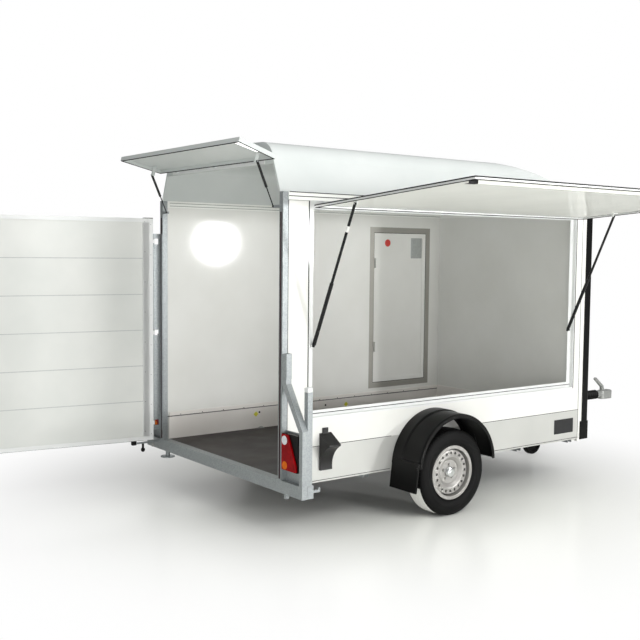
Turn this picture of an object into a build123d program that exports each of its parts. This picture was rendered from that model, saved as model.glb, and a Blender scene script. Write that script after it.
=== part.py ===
from build123d import *
from math import atan2, cos, degrees, hypot, radians, sin
import os

os.makedirs("parts", exist_ok=True)

# Millimetres. X runs forward from the rear face, Y to the left from the centre plane, Z up from the ground.
# Every piece is moved at export so that the row's origin is the centre of the tow ball socket.

# Box body
BODY_LEN = 3095.0        # rear face to the front wall's outer face
HALF_W = 855.0           # centre plane to the side walls' outer faces
WALL = 30.0              # sandwich panels of the side walls
FRONT_WALL = 85.0        # front wall, lined on both sides
SIDE_END = BODY_LEN - 50.0       # the side walls cover the front wall's edge up to here
FLOOR_TOP = 382.0
FLOOR = 18.0             # phenolic plywood
SKIRT_LOW = FLOOR_TOP - 53.0     # lower edge of the silver boards
SKIRT_TOP = FLOOR_TOP + 196.0    # where the silver boards meet the white walls
KICK_TOP = FLOOR_TOP + 215.0     # top of the scuff strip inside
KICK = 3.0               # thickness of the scuff strip
SILL = FLOOR_TOP + 383.0         # lower edge of the side opening
WALL_TOP = 2226.0
TRIM_TOP = WALL_TOP + 52.0       # roof trim, and the foot of the hood
TRIM_PROUD = 8.0         # the roof trim stands out from the wall

# Chassis
BEAM_LOW = FLOOR_TOP - 84.0      # under face of the rear beam and of the rails
BEAM_DEEP = 60.0         # rear beam along X
LAMP_BAY = 235.0         # body side to the outer face of the lamp post
BEAM_HALF = HALF_W + LAMP_BAY    # rear beam, out to the lamp posts
POST = 42.0              # rear corner posts, square
LAMP_POST = 36.0         # lamp posts across Y
BRACE_LOW = FLOOR_TOP + 318.0    # top of the outer post, where the brace starts
BRACE_TOP = FLOOR_TOP + 678.0    # foot of the sleeve beside the corner post
LEG_TOP = FLOOR_TOP + 608.0      # support leg's tube
PLATE = 4.0              # folded steel
RAIL_Y = HALF_W - 235.0          # centre of the two long rails
RAIL_W = 40.0
CROSS_X = (0.233 * BODY_LEN, 0.53 * BODY_LEN, 0.75 * BODY_LEN, BODY_LEN - 135.0)
CROSS_W = 50.0           # cross members, their rear faces at the stations above

# Wheels, 195/70 R14
TYRE_R = 314.5
TYRE_W = 195.0
WHEEL_X = 0.424 * BODY_LEN
WHEEL_Y = HALF_W + 181.5
SEAT_R = 177.8           # bead seat, half of 14 inches
FLANGE_R = SEAT_R + 18.0
RIM_HALF = TYRE_W / 2 - 20.0     # half of the rim's width between its flanges
DISH_HOLES = 20
SPINDLE_R = 16.0
RUN_FIT = 0.08           # radial clearance of a pin in its bore
GUARD_R = TYRE_R + 77.5          # mudguard's outer radius
GUARD_X = WHEEL_X + 41.0         # the mudguard's centre lies ahead of the wheel's and above it
GUARD_Z = TYRE_R + 40.0
GUARD_T = 5.0

# Towing gear
SOCKET_X = BODY_LEN + 1495.0     # tow ball centre
SOCKET_Z = 465.0
SOCKET_R = 25.0          # 50 mm ball
TUBE_Z = SOCKET_Z + 25.0         # centre of the overrun tube
TUBE_R = 25.0
ARM_DEEP = 80.0          # drawbar channels
ARM_WIDE = 50.0
ARM_SEAT = TUBE_Z - 38.0         # top of the arms under the overrun housing
CRANK_X0 = BODY_LEN + 55.0       # the arms rise between these two
CRANK_X1 = SOCKET_X - 770.0
HOUSING_X0 = SOCKET_X - 750.0    # overrun housing, from here
HOUSING_X1 = SOCKET_X - 470.0    # to here, with the bellows after it
NECK_X = SOCKET_X - 170.0
HEAD_X = SOCKET_X - 120.0
JOCKEY_X = BODY_LEN + 371.0      # where the jockey wheel stands
JOCKEY_TRAIL = 45.0
JOCKEY_R = 105.0

# Side opening and its flap
OPEN_REAR = 210.0
OPEN_FRONT = BODY_LEN - 125.0
STRIP = 55.0             # frame strip round the side opening
REBATE = 26.0            # depth of the frame's rebate, where the struts lie when the flap is closed
FLAP_HINGE_Y = -(HALF_W + 41.0)
FLAP_HINGE_Z = WALL_TOP - 12.0
FLAP_LEN = FLAP_HINGE_Z - SILL + 8.0        # hinge to free edge
FLAP_T = 18.0
FLAP_EDGE = 42.0         # width of the aluminium edge
FLAP_RIM = 14.0          # width of the edge's raised rim
FLAP_OPEN = 94.2         # degrees from closed to the pose of the photo
STRUT_FLAP = 373.0       # hinge to the strut's pin on the flap
STRUT_POST_Z = FLAP_HINGE_Z - 955.0         # strut's lower pin
STRUT_R = 9.5
GUARD_TUBE_R = 13.0      # protection tube on the strut's rod
ROD_R = 5.0
PIN_R = 4.0
STRUT_X = (OPEN_REAR + 50.0, OPEN_FRONT - 80.0)
STRUT_Y = -(HALF_W - 8.0)
STRUT_PLATES = ((OPEN_REAR + 28.0, OPEN_REAR + 32.0), (OPEN_FRONT - 53.0, OPEN_FRONT - 49.0))
STUB_GAP = 0.5           # a rod's stub ends this far from its bracket

# Side door
DOOR_REAR = BODY_LEN - 965.0
DOOR_FRONT = BODY_LEN - 215.0
DOOR_LOW = SKIRT_TOP + 49.0
DOOR_TOP = WALL_TOP - 101.0
DOOR_FRAME = 50.0

# Rear flap
RFLAP_HINGE = (-12.0, TRIM_TOP + 208.0)     # X, Z of its hinge line
RFLAP_LOW = TRIM_TOP - 128.0
RFLAP_HALF = HALF_W - 3.0        # at its free edge
RFLAP_TOP_HALF = HALF_W - 60.0   # at its hinge
RFLAP_DEEP = 30.0
RFLAP_OPEN = 105.0
RSTRUT_FLAP = (34.0, TRIM_TOP + 100.0)      # X, Z of the strut's pin on the closed flap
RSTRUT_POST = (-2.0, TRIM_TOP - 94.0)       # X, Z of the strut's pin on the post
RSTRUT_Y = HALF_W - 112.0
RSTRUT_R = 9.0
RROD_R = 4.0
RPIN_R = 3.5
STUB_END = 10.0          # strut's plane to the post bracket's face

# Rear door
RDOOR_HINGE = (-58.0, HALF_W + 7.0)         # X, Y of its hinge line
RDOOR_LOW = FLOOR_TOP + 10.0
RDOOR_TOP = TRIM_TOP - 140.0
RDOOR_T = 40.0
RDOOR_EDGE = 30.0        # stiles and rails round the planks
RDOOR_OPEN = 98.0
PLANKS = 6


def box(x0, x1, y0, y1, z0, z1):
    """A block between two corners, given in any order."""
    middle = Pos((x0 + x1) / 2, (y0 + y1) / 2, (z0 + z1) / 2)
    return middle * Box(abs(x1 - x0), abs(y1 - y0), abs(z1 - z0))


def prism_y(points, y0, y1):
    """A prism along Y from corners given as (x, z)."""
    face = make_face(Polyline([(x, y0, z) for x, z in points], close=True))
    return extrude(face, y1 - y0, dir=(0, 1, 0))


def prism_x(points, x0, x1):
    """A prism along X from corners given as (y, z)."""
    face = make_face(Polyline([(x0, y, z) for y, z in points], close=True))
    return extrude(face, x1 - x0, dir=(1, 0, 0))


def rod(p, q, r):
    """A round bar between two points."""
    d = Vector(*q) - Vector(*p)
    return Plane(origin=p, z_dir=d) * Cylinder(r, d.length, align=(Align.CENTER, Align.CENTER, Align.MIN))


def spin_y(points, x, y, z):
    """A body turned about a line along Y from corners given as (radius, offset along Y)."""
    face = make_face(Polyline([(r, w, 0) for r, w in points], close=True))
    return Pos(x, y, z) * revolve(face, Axis.Y, 360)


def across(shape):
    """The same piece on the other side of the centre plane."""
    return mirror(shape, about=Plane.XZ)


def one(shape):
    """The single solid of a result, and an error when it fell apart."""
    found = shape.solids()
    if len(found) != 1:
        raise ValueError(f"{len(found)} solids where one is wanted")
    return found[0]


# Chassis frame: two rails and their cross members, open below

def channel_down(x0, x1, y0, y1, z0, z1):
    """A folded channel whose open side looks down."""
    long_x = x1 - x0 > y1 - y0
    if long_x:
        return box(x0, x1, y0, y1, z0, z1) - box(x0 - 1, x1 + 1, y0 + PLATE, y1 - PLATE, z0 - 1, z1 - PLATE)
    return box(x0, x1, y0, y1, z0, z1) - box(x0 + PLATE, x1 - PLATE, y0 - 1, y1 + 1, z0 - 1, z1 - PLATE)


def chassis_frame():
    floor_low = FLOOR_TOP - FLOOR
    frame = None
    for side in (-1, 1):
        y0, y1 = side * RAIL_Y - RAIL_W / 2, side * RAIL_Y + RAIL_W / 2
        rail = channel_down(BEAM_DEEP, BODY_LEN - FRONT_WALL, y0, y1, BEAM_LOW, floor_low)
        frame = rail if frame is None else frame + rail
    edge = HALF_W - WALL
    for x in CROSS_X:
        frame += channel_down(x, x + CROSS_W, -edge, edge, BEAM_LOW, floor_low)
    return one(frame)


def rear_portal():
    """Rear beam, corner posts and lamp posts, welded and galvanised in one."""
    portal = None
    for x1, half in ((BEAM_DEEP, HALF_W), (POST, BEAM_HALF)):
        beam = box(0, x1, -half, half, BEAM_LOW, FLOOR_TOP)
        beam -= box(PLATE, x1 + 1, -half + PLATE, half - PLATE, BEAM_LOW + PLATE, FLOOR_TOP - PLATE)
        portal = beam if portal is None else portal + beam
    left = box(0, POST, HALF_W - POST, HALF_W, FLOOR_TOP, TRIM_TOP)
    left -= box(PLATE, POST + 1, HALF_W - POST + PLATE, HALF_W - PLATE, FLOOR_TOP + PLATE, TRIM_TOP + 1)
    left += lamp_post()
    px, pz = RSTRUT_POST
    left += box(px - 3, px + 26, RSTRUT_Y + STUB_END, HALF_W - POST, pz - 9, pz + 9)
    portal += left + across(left)
    portal += box(18, POST, -HALF_W - 30, -HALF_W - 6, BEAM_LOW - 36, BEAM_LOW)
    return one(portal)


def lamp_post():
    """Left lamp post: outer post, lamp plate, bent brace up to a sleeve, and the support leg's tube."""
    inner = BEAM_HALF - LAMP_POST
    post = box(0, POST, inner, BEAM_HALF, FLOOR_TOP - 1, BRACE_LOW)
    post += box(POST - PLATE, POST, HALF_W, inner, FLOOR_TOP - 1, FLOOR_TOP + 333)
    sleeve = box(0, POST, HALF_W, HALF_W + 52, BRACE_TOP, BRACE_TOP + 165)
    sleeve -= box(PLATE, POST - PLATE, HALF_W + PLATE, HALF_W + 52 - PLATE, BRACE_TOP + 12, BRACE_TOP + 166)
    bend = [(HALF_W, BRACE_TOP), (HALF_W + 48, BRACE_TOP), (HALF_W + 48, BRACE_TOP - 30),
            (BEAM_HALF, BRACE_LOW + 40), (BEAM_HALF, BRACE_LOW), (inner, BRACE_LOW), (inner, BRACE_LOW + 26),
            (HALF_W, BRACE_TOP - 42)]
    brace = prism_x(bend, 0, POST)
    leg = box(POST, POST + 38, BEAM_HALF - 40, BEAM_HALF - 2, BEAM_LOW + 80, LEG_TOP)
    clamp = box(POST, POST + 48, BEAM_HALF - 44, BEAM_HALF + 2, BEAM_LOW + 2, BEAM_LOW + 88)
    hook = box(POST + 48, POST + 113, BEAM_HALF - 32, BEAM_HALF - 14, BEAM_LOW + 32, BEAM_LOW + 48)
    hook += box(POST + 101, POST + 113, BEAM_HALF - 32, BEAM_HALF - 14, BEAM_LOW + 32, BEAM_LOW + 64)
    return post + sleeve + brace + leg + clamp + hook


def prop_foot():
    """Short stand under the rear left corner with its round foot plate."""
    foot = rod((30, 790, 246), (30, 790, 253), 56) + rod((30, 790, 253), (30, 790, BEAM_LOW), 17)
    return one(foot)


# Running gear

def axle_beam():
    """Torsion axle with its trailing arms and spindles."""
    tube_x, tube_z = WHEEL_X + 140, BEAM_LOW - 46
    arm_in, arm_out = HALF_W - 165, HALF_W - 125
    beam = box(tube_x - 32, tube_x + 32, -arm_in, arm_in, tube_z - 32, tube_z + 32)
    for side in (-1, 1):
        a = Vector(tube_x, 0, tube_z)
        b = Vector(WHEEL_X, 0, TYRE_R)
        d = (b - a).normalized()
        n = Vector(-d.Z, 0, d.X)
        corners = (a - d * 34 + n * 30, b + d * 28 + n * 24, b + d * 28 - n * 24, a - d * 34 - n * 30)
        beam += prism_y([(p.X, p.Z) for p in corners], side * arm_in, side * arm_out)
        beam += rod((WHEEL_X, side * arm_out, TYRE_R), (WHEEL_X, side * (WHEEL_Y - 20), TYRE_R), SPINDLE_R)
        y0, y1 = side * (RAIL_Y - RAIL_W / 2), side * (RAIL_Y + RAIL_W / 2)
        beam += box(tube_x - 60, tube_x + 60, y0, y1, tube_z + 32, BEAM_LOW)
    return one(beam)


def tyre():
    """Hollow tyre, open towards the rim, as (radius, offset) corners."""
    h = TYRE_W / 2

    def wall(part):
        """Radius at a part of the way from the bead seat to the tread."""
        return SEAT_R + part * (TYRE_R - SEAT_R)
    outer = [(SEAT_R, -h + 20), (SEAT_R + 20, -h + 20), (wall(0.27), -h + 4), (wall(0.53), -h),
             (wall(0.78), -h + 3), (wall(0.92), -h + 14), (TYRE_R - 2, -h + 26), (TYRE_R, -h + 40)]
    inner = [(wall(0.91), h - 40), (wall(0.79), h - 22), (wall(0.53), h - 10), (wall(0.27), h - 14),
             (SEAT_R + 16, h - 32), (SEAT_R, h - 34)]
    profile = outer + [(r, -w) for r, w in reversed(outer)] + [(r, w) for r, w in reversed(inner)]
    profile += [(r, -w) for r, w in inner]
    return profile


def tyre_at(side):
    return one(spin_y(tyre(), WHEEL_X, side * WHEEL_Y, TYRE_R))


def rim_at(side):
    """Steel rim with its ring of holes, hub dish and brake drum, outward side towards +Y before mirroring."""
    h = RIM_HALF
    well = SEAT_R - 11.8
    inside = SEAT_R - 5
    barrel = [(FLANGE_R, -h - 5), (FLANGE_R, -h), (SEAT_R, -h), (SEAT_R, -h + 22), (well, -h + 30), (well, 8),
              (well + 6, 20), (SEAT_R, h - 22), (SEAT_R, h), (FLANGE_R, h), (FLANGE_R, h + 5),
              (inside, h + 5),
              (inside, h - 24), (well + 1, 22), (well - 5, 10), (well - 5, -h + 28), (inside, -h + 20),
              (inside, -h - 5)]
    wheel = spin_y(barrel, 0, 0, 0)
    edge = well - 4
    dish = [(well + 0.5, 12), (well + 0.5, 22), (edge, 34), (edge, 57), (edge - 3, 62), (edge - 12, 64),
            (edge - 36, 65), (edge - 44, 69), (edge - 52, 67), (edge - 70, 52), (edge - 76, 44), (0, 44),
            (0, 37), (edge - 72, 37), (edge - 66, 45), (edge - 54, 60), (edge - 44, 62), (edge - 36, 58),
            (edge - 12, 57), (edge - 6, 54), (edge - 6, 34), (edge - 2, 20)]
    wheel += spin_y(dish, 0, 0, 0)
    for i in range(DISH_HOLES):
        a = radians(360.0 * i / DISH_HOLES)
        wheel -= rod((139 * cos(a), 50, 139 * sin(a)), (139 * cos(a), 75, 139 * sin(a)), 10)
    for i in range(5):
        a = radians(72.0 * i + 18)
        wheel += rod((56 * cos(a), 43, 56 * sin(a)), (56 * cos(a), 56, 56 * sin(a)), 10)
    cap = [(0, 43), (38, 43), (36, 60), (31, 68), (0, 70)]
    wheel += spin_y(cap, 0, 0, 0)
    bore = SPINDLE_R + RUN_FIT
    drum = [(bore, -128), (60, -128), (60, -118), (118, -118), (118, -8), (60, -4), (60, 38), (0, 38),
            (0, -16), (bore, -16)]
    wheel += spin_y(drum, 0, 0, 0)
    wheel = one(wheel)
    if side < 0:
        wheel = across(wheel)
    return one(Pos(WHEEL_X, side * WHEEL_Y, TYRE_R) * wheel)


def mudguard():
    """Left mudguard: a black arch with a raised inner band, a rolled outer lip and a flap at its rear."""
    out = WHEEL_Y + TYRE_W / 2 + 4
    r, w, t = GUARD_R, HALF_W, GUARD_T
    skin = [(r, w), (r, w + 95), (r - 10, w + 107), (r - 10, out - 12), (r - 16, out), (r - 40, out),
            (r - 40, out - t), (r - 19, out - t), (r - 15, out - 14), (r - 15, w + 110), (r - t, w + 97),
            (r - t, w + t), (r - 35, w + t), (r - 35, w)]
    axle = Axis((GUARD_X, 0, GUARD_Z), (0, -1, 0))
    face = make_face(Polyline([(GUARD_X + a, y, GUARD_Z) for a, y in skin], close=True)).rotate(axle, 3)
    guard = revolve(face, axle, 172.5)
    x = GUARD_X - GUARD_R
    hanging = [(x + 5, GUARD_Z + 66), (x + 19, GUARD_Z + 66), (x - 9, GUARD_Z - 142), (x - 21, GUARD_Z - 142)]
    guard += prism_y(hanging, w + 3, out - 3)
    return one(guard)


def chock():
    """Wheel chock in its holder on the left lower board, its hollow face turned down and outward."""
    x0, x1, low, top = 310.0, 410.0, FLOOR_TOP + 29, FLOOR_TOP + 283
    tip_y, tip_z = HALF_W + 110, top - 68
    edge = Polyline([(x0, HALF_W + 17, low), (x0, HALF_W, low), (x0, HALF_W, top), (x0, tip_y, tip_z),
                     (x0, tip_y, tip_z - 12)])
    hollow = ThreePointArc((x0, tip_y, tip_z - 12), (x0, HALF_W + 38, top - 145), (x0, HALF_W + 17, low))
    wedge = extrude(make_face(edge + hollow), x1 - x0, dir=(1, 0, 0))
    wedge += box(x0 + 23, x1 - 32, HALF_W, HALF_W + 10, top - 20, top + 35)
    return one(wedge)


# Towing gear

def arm_top(x):
    """Height of the arms' top along the drawbar: level, rising between the cranks, then level again."""
    part = (x - CRANK_X0) / (CRANK_X1 - CRANK_X0)
    return BEAM_LOW + (ARM_SEAT - BEAM_LOW) * min(1.0, max(0.0, part))


def drawbar():
    """Two cranked channels that meet at the overrun housing, with the jockey wheel's cross plate."""
    back_x, back_y = BODY_LEN - 1335, RAIL_Y - 10
    front_x, front_y = SOCKET_X - 640, 85.0
    run = hypot(front_x - back_x, back_y - front_y)
    turn = atan2(front_y - back_y, front_x - back_x)
    stations = [0.0] + [(x - back_x) / cos(turn) for x in (CRANK_X0, CRANK_X1)] + [run]
    tops = [BEAM_LOW, BEAM_LOW, ARM_SEAT, ARM_SEAT]
    crank_lag = 12.0
    lags = [0.0, crank_lag, crank_lag, 0.0]
    top = list(zip(stations, tops))
    bottom = [(s + lag, z - ARM_DEEP) for s, z, lag in zip(stations, tops, lags)]
    arm = prism_y(top + bottom[::-1], -ARM_WIDE / 2, ARM_WIDE / 2)
    ends = [-1.0, 0.0, 0.0, 1.0]
    inside_top = [(s + end, z - PLATE) for (s, z), end in zip(top, ends)]
    inside_low = [(s + end, z + PLATE) for (s, z), end in zip(bottom, ends)]
    arm -= prism_y(inside_top + inside_low[::-1], -ARM_WIDE / 2 + PLATE, ARM_WIDE)
    frame = box(SOCKET_X - 790, front_x, -110, 110, ARM_SEAT - 8, ARM_SEAT)
    for side in (-1, 1):
        piece = arm if side > 0 else across(arm)
        frame += Pos(back_x, side * back_y, 0) * Rot(0, 0, side * degrees(turn)) * piece
    half = back_y + (front_y - back_y) * (JOCKEY_X - back_x) / (front_x - back_x) - 11
    z = arm_top(JOCKEY_X + 20)
    frame += box(JOCKEY_X - 60, JOCKEY_X + 2, -half, half, z - 66, z - 16)
    return one(frame)


def overrun_housing():
    """Cast housing bolted between the arms, with the draw tube through it."""
    body = box(HOUSING_X0, HOUSING_X1, -52, 52, ARM_SEAT, TUBE_Z + 45)
    body = fillet(body.edges().filter_by(Axis.X), 18)
    body += box(HOUSING_X0 - 20, HOUSING_X0 + 80, -100, 100, ARM_SEAT, ARM_SEAT + 12)
    body += rod((HOUSING_X1, 0, TUBE_Z), (NECK_X + 60, 0, TUBE_Z), TUBE_R)
    return one(body)


def gaiter():
    """Black bellows over the draw tube."""
    folds = 9
    step = (NECK_X - HOUSING_X1) / folds
    pts = []
    for i in range(folds):
        pts += [(HOUSING_X1 + i * step, 34), (HOUSING_X1 + (i + 0.5) * step, 46)]
    pts += [(NECK_X, 34), (NECK_X, TUBE_R + RUN_FIT), (HOUSING_X1, TUBE_R + RUN_FIT)]
    face = make_face(Polyline([(x, 0, r) for x, r in pts], close=True))
    return one(Pos(0, 0, TUBE_Z) * revolve(face, Axis.X, 360))


def coupling_head():
    """Pressed coupling head with its ball socket open below."""
    head = box(HEAD_X, SOCKET_X + 46, -42, 42, SOCKET_Z - 25, SOCKET_Z + 60)
    head = fillet(head.edges().filter_by(Axis.Z), 30)
    head = fillet(head.faces().sort_by(Axis.Z)[-1].edges(), 14)
    head += rod((NECK_X, 0, TUBE_Z), (HEAD_X + 30, 0, TUBE_Z), 34)
    head -= rod((NECK_X - 1, 0, TUBE_Z), (NECK_X + 60, 0, TUBE_Z), TUBE_R)
    head -= rod((SOCKET_X, 0, SOCKET_Z - 26), (SOCKET_X, 0, SOCKET_Z + 15), SOCKET_R)
    return one(head)


def coupling_handle():
    """Hand grip that rises to the rear from the coupling head."""
    x, z = HEAD_X, SOCKET_Z + 60
    side = [(x + 24, z), (x + 66, z), (x + 52, z + 46),
            (x - 66, z + 136), (x - 84, z + 120), (x + 22, z + 34)]
    return one(prism_y(side, -13, 13))


def brake_lever():
    """Parking brake lever beside the overrun housing."""
    x = HOUSING_X0 + 140
    lever = box(x - 25, x + 25, 52, 64, TUBE_Z - 30, TUBE_Z + 40)
    lever += rod((x, 70, TUBE_Z), (x - 210, 70, TUBE_Z + 190), 10)
    lever += rod((x, 60, TUBE_Z), (x, 80, TUBE_Z), 20)
    return one(lever)


def jockey_tube():
    """Telescopic jockey stem with its clamp and crank, its lower end open for the fork's pin."""
    x = JOCKEY_X + JOCKEY_TRAIL
    low, top = 262.0, 800.0
    stem = rod((x, 0, low), (x, 0, top), 24)
    stem -= rod((x, 0, low - 1), (x, 0, low + 38), 10 + RUN_FIT)
    z = arm_top(JOCKEY_X + 20)
    stem += box(JOCKEY_X + 2, x, -30, 30, z - 62, z - 20)
    stem += rod((x, 0, top), (x, 0, top + 30), 12) + rod((x, 0, top + 22), (x + 110, 0, top + 22), 7)
    stem += rod((x + 103, 0, top + 22), (x + 103, 0, top + 72), 10)
    return one(stem)


def jockey_fork():
    """Caster fork that turns about the stem, its wheel trailing behind."""
    x = JOCKEY_X + JOCKEY_TRAIL
    fork = rod((x, 0, 240), (x, 0, 298), 10) + rod((x, 0, 238), (x, 0, 256), 26)
    fork += box(JOCKEY_X - 30, x + 30, -42, 42, 230, 238)
    for side in (-1, 1):
        cheek = [(JOCKEY_X - 24, JOCKEY_R - 22), (JOCKEY_X + 24, JOCKEY_R - 22),
                 (x + 30, 232), (JOCKEY_X - 30, 232)]
        fork += prism_y(cheek, side * 36, side * 42)
    fork += rod((JOCKEY_X, -48, JOCKEY_R), (JOCKEY_X, 48, JOCKEY_R), 8)
    return one(fork)


def jockey_wheel():
    """Solid rubber wheel on a flat disc and a long hub."""
    half = [(8 + RUN_FIT, 30), (24, 30), (24, 12), (76, 12), (80, 26), (JOCKEY_R - 5, 26), (JOCKEY_R, 18)]
    profile = half + [(r, -w) for r, w in reversed(half)]
    return one(spin_y(profile, JOCKEY_X, 0, JOCKEY_R))


# Box body

def floor_panel():
    """Floor of film-faced plywood between the scuff strips."""
    edge = HALF_W - WALL - KICK
    return one(box(BEAM_DEEP, BODY_LEN - FRONT_WALL - KICK, -edge, edge, FLOOR_TOP - FLOOR, FLOOR_TOP))


def skirt(side):
    """Silver lower board with its notch for the wheel spindle."""
    inner, outer = side * (HALF_W - WALL), side * HALF_W
    past_in, past_out = side * (HALF_W - WALL - 1), side * (HALF_W + 1)
    board = box(POST, SIDE_END, inner, outer, SKIRT_LOW, SKIRT_TOP)
    board -= box(WHEEL_X - 60, WHEEL_X + 60, past_in, past_out, SKIRT_LOW - 1, FLOOR_TOP - FLOOR)
    board -= box(POST - 1, BEAM_DEEP, past_in, past_out, SKIRT_LOW - 1, FLOOR_TOP)
    return one(board)


def left_wall():
    """White sandwich wall with the opening of the side door."""
    wall = box(POST, SIDE_END, HALF_W - WALL, HALF_W, SKIRT_TOP, WALL_TOP)
    wall -= box(DOOR_REAR, DOOR_FRONT, HALF_W - WALL - 1, HALF_W + 1, DOOR_LOW, DOOR_TOP)
    return one(wall)


def right_wall():
    """White sandwich wall with the large side opening, as thick as the left one."""
    wall = box(POST, SIDE_END, -HALF_W, -(HALF_W - WALL), SKIRT_TOP, WALL_TOP)
    wall -= box(OPEN_REAR, OPEN_FRONT, -HALF_W - 1, -(HALF_W - WALL) + 1, SILL, WALL_TOP + 1)
    return one(wall)


def side_frame():
    """Frame strip round the side opening, with a rebate for the struts and their lower brackets."""
    inner = -(HALF_W - WALL)
    ring = box(OPEN_REAR, OPEN_FRONT, -HALF_W, inner, SILL, WALL_TOP)
    ring -= box(OPEN_REAR + STRIP, OPEN_FRONT - STRIP, -HALF_W - 1, inner + 1, SILL + STRIP, WALL_TOP - STRIP)
    lip = 12.0
    floor_y = -(HALF_W - REBATE)
    ring -= box(OPEN_REAR + lip, OPEN_FRONT - lip, -HALF_W - 1, floor_y, SILL + lip, WALL_TOP - 34)
    z = STRUT_POST_Z
    for x0, x1 in STRUT_PLATES:
        ring += box(x0, x1, floor_y + 1, STRUT_Y - 6, z - 9, z + 9)
    return one(ring)


def strut_bracket(x, inward, z, y_base):
    """A small plate on the flap and the pin along X that a side strut's eye turns on."""
    plate = box(x + inward * 11, x + inward * 15, y_base, STRUT_Y + 5, z - 9, z + 9)
    return plate + rod((x - inward * 8, STRUT_Y, z), (x + inward * 13, STRUT_Y, z), PIN_R)


def front_wall():
    """Front wall, its edge covered by the side walls."""
    inner = HALF_W - WALL
    low = BEAM_LOW + 8
    wall = box(BODY_LEN - FRONT_WALL, SIDE_END, -inner, inner, low, WALL_TOP)
    return one(wall + box(SIDE_END, BODY_LEN, -HALF_W, HALF_W, low, WALL_TOP))


def corner_profile(side):
    """Black rubber-edged profile that stands at the front corner on a moulded foot."""
    y0, y1 = side * (HALF_W - 75), side * (HALF_W + 6)
    bar = box(BODY_LEN, BODY_LEN + 86, y0, y1, SKIRT_LOW + 90, TRIM_TOP)
    bar = fillet(bar.edges().filter_by(Axis.Z).sort_by(Axis.X)[-2:], 26)
    bar += box(BODY_LEN, BODY_LEN + 77, side * (HALF_W - 80), side * (HALF_W + 9),
               BEAM_LOW + 22, SKIRT_TOP - 104)
    bar += box(BODY_LEN - 21, BODY_LEN, side * HALF_W, side * (HALF_W + 9), BEAM_LOW + 22, SKIRT_TOP - 104)
    return one(bar)


def roof_trim():
    """Coated profile round the top of the walls, on three sides, with a groove along it."""
    half = HALF_W + TRIM_PROUD
    inner = HALF_W - WALL - 14
    trim = box(POST, BODY_LEN, -half, half, WALL_TOP, TRIM_TOP)
    trim -= box(POST - 1, BODY_LEN - FRONT_WALL, -inner, inner, WALL_TOP - 1, TRIM_TOP + 1)
    for side in (-1, 1):
        trim -= box(POST - 1, BODY_LEN + 1, side * (half - 4), side * (half + 1),
                    WALL_TOP + 22, WALL_TOP + 28)
    return one(trim)


def kick_strip():
    """Scuff strip round the load space, with its moulding on top."""
    edge = HALF_W - WALL
    front = BODY_LEN - FRONT_WALL
    strip = None
    for deep, low in ((KICK, FLOOR_TOP - FLOOR), (10.0, KICK_TOP - 32)):
        band = box(BEAM_DEEP, front, -edge, edge, low, KICK_TOP)
        band -= box(BEAM_DEEP - 1, front - deep, -edge + deep, edge - deep, low - 1, KICK_TOP + 1)
        strip = band if strip is None else strip + band
    return one(strip)


# Corners of the hood's half section: in from the wall's face, above the trim, inward normal's two parts
HOOD_HALF = ((33.0, 0.0, 1.0, 0.0), (119.0, 222.0, 0.98, 0.20),
             (153.0, 290.0, 0.80, 0.60), (255.0, 336.0, 0.20, 0.98))
HOOD_CROWN = 346.0
HOOD_FRONT = ((1045, 346), (795, 322), (545, 276), (335, 212), (165, 130), (35, 22), (5, -40))
HOOD_T = 10.0
GABLE_T = 18.0


def hood_section(inset):
    """Section of the hood, drawn in by the inset: sloping sides, rounded shoulders and a shallow crown."""
    corners = [(0, HALF_W - u - inset * a, TRIM_TOP + v - inset * b) for u, v, a, b in HOOD_HALF]
    right = [(0, corners[0][1], TRIM_TOP - 60)] + corners
    left = [(0, -y, z) for _, y, z in right]
    curve = Polyline([right[2], right[1], right[0], left[0], left[1], left[2]])
    curve += ThreePointArc(*right[2:5]) + ThreePointArc(*left[2:5])
    curve += ThreePointArc(right[4], (0, 0, TRIM_TOP + HOOD_CROWN - inset), left[4])
    return make_face(curve)


def hood_solid(inset):
    """The hood as a full body, drawn in by the inset on every side."""
    bar = extrude(hood_section(inset), BODY_LEN + 60, dir=(1, 0, 0))
    front = [(BODY_LEN - u - inset, -HALF_W, TRIM_TOP + v - inset) for u, v in HOOD_FRONT]
    low, high = TRIM_TOP - 80, TRIM_TOP + 400
    frame = Polyline([front[-1], (front[-1][0], -HALF_W, low), (-10, -HALF_W, low), (-10, -HALF_W, high),
                      (front[0][0], -HALF_W, high), front[0]])
    side = extrude(make_face(frame + Spline(*front)), 2 * HALF_W, dir=(0, 1, 0))
    return bar & side


def roof_hood():
    """Moulded hood: a shell open below, with a rear gable over the flap's opening."""
    shell = hood_solid(0) - (Pos(GABLE_T, 0, 0) * hood_solid(HOOD_T))
    opening = Pos(-5, 0, 0) * extrude(hood_section(15.0), GABLE_T + 15, dir=(1, 0, 0))
    opening -= box(-10, 60, -HALF_W, HALF_W, RFLAP_HINGE[1] - 22, RFLAP_HINGE[1] + 400)
    shell -= opening
    shell -= box(-100, BODY_LEN + 100, -HALF_W - 50, HALF_W + 50, TRIM_TOP - 200, TRIM_TOP)
    return one(shell)


# Hinges: the fixed lugs hold the pin, the moving barrel turns between them

def barrel(p, axis, half, r, bore):
    """A short tube round a hinge line."""
    step = {"x": (1, 0, 0), "y": (0, 1, 0), "z": (0, 0, 1)}[axis]
    a = tuple(p[i] - step[i] * half for i in range(3))
    b = tuple(p[i] + step[i] * half for i in range(3))
    tube = rod(a, b, r)
    return tube - rod(a, b, bore) if bore else tube


# Rear flap

def turn_rear_flap(shape):
    x, z = RFLAP_HINGE
    return Pos(x, 0, z) * Rot(0, RFLAP_OPEN, 0) * Pos(-x, 0, -z) * shape


RFLAP_HINGES_Y = (-(HALF_W - 295), 0.0, HALF_W - 295)


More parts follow.
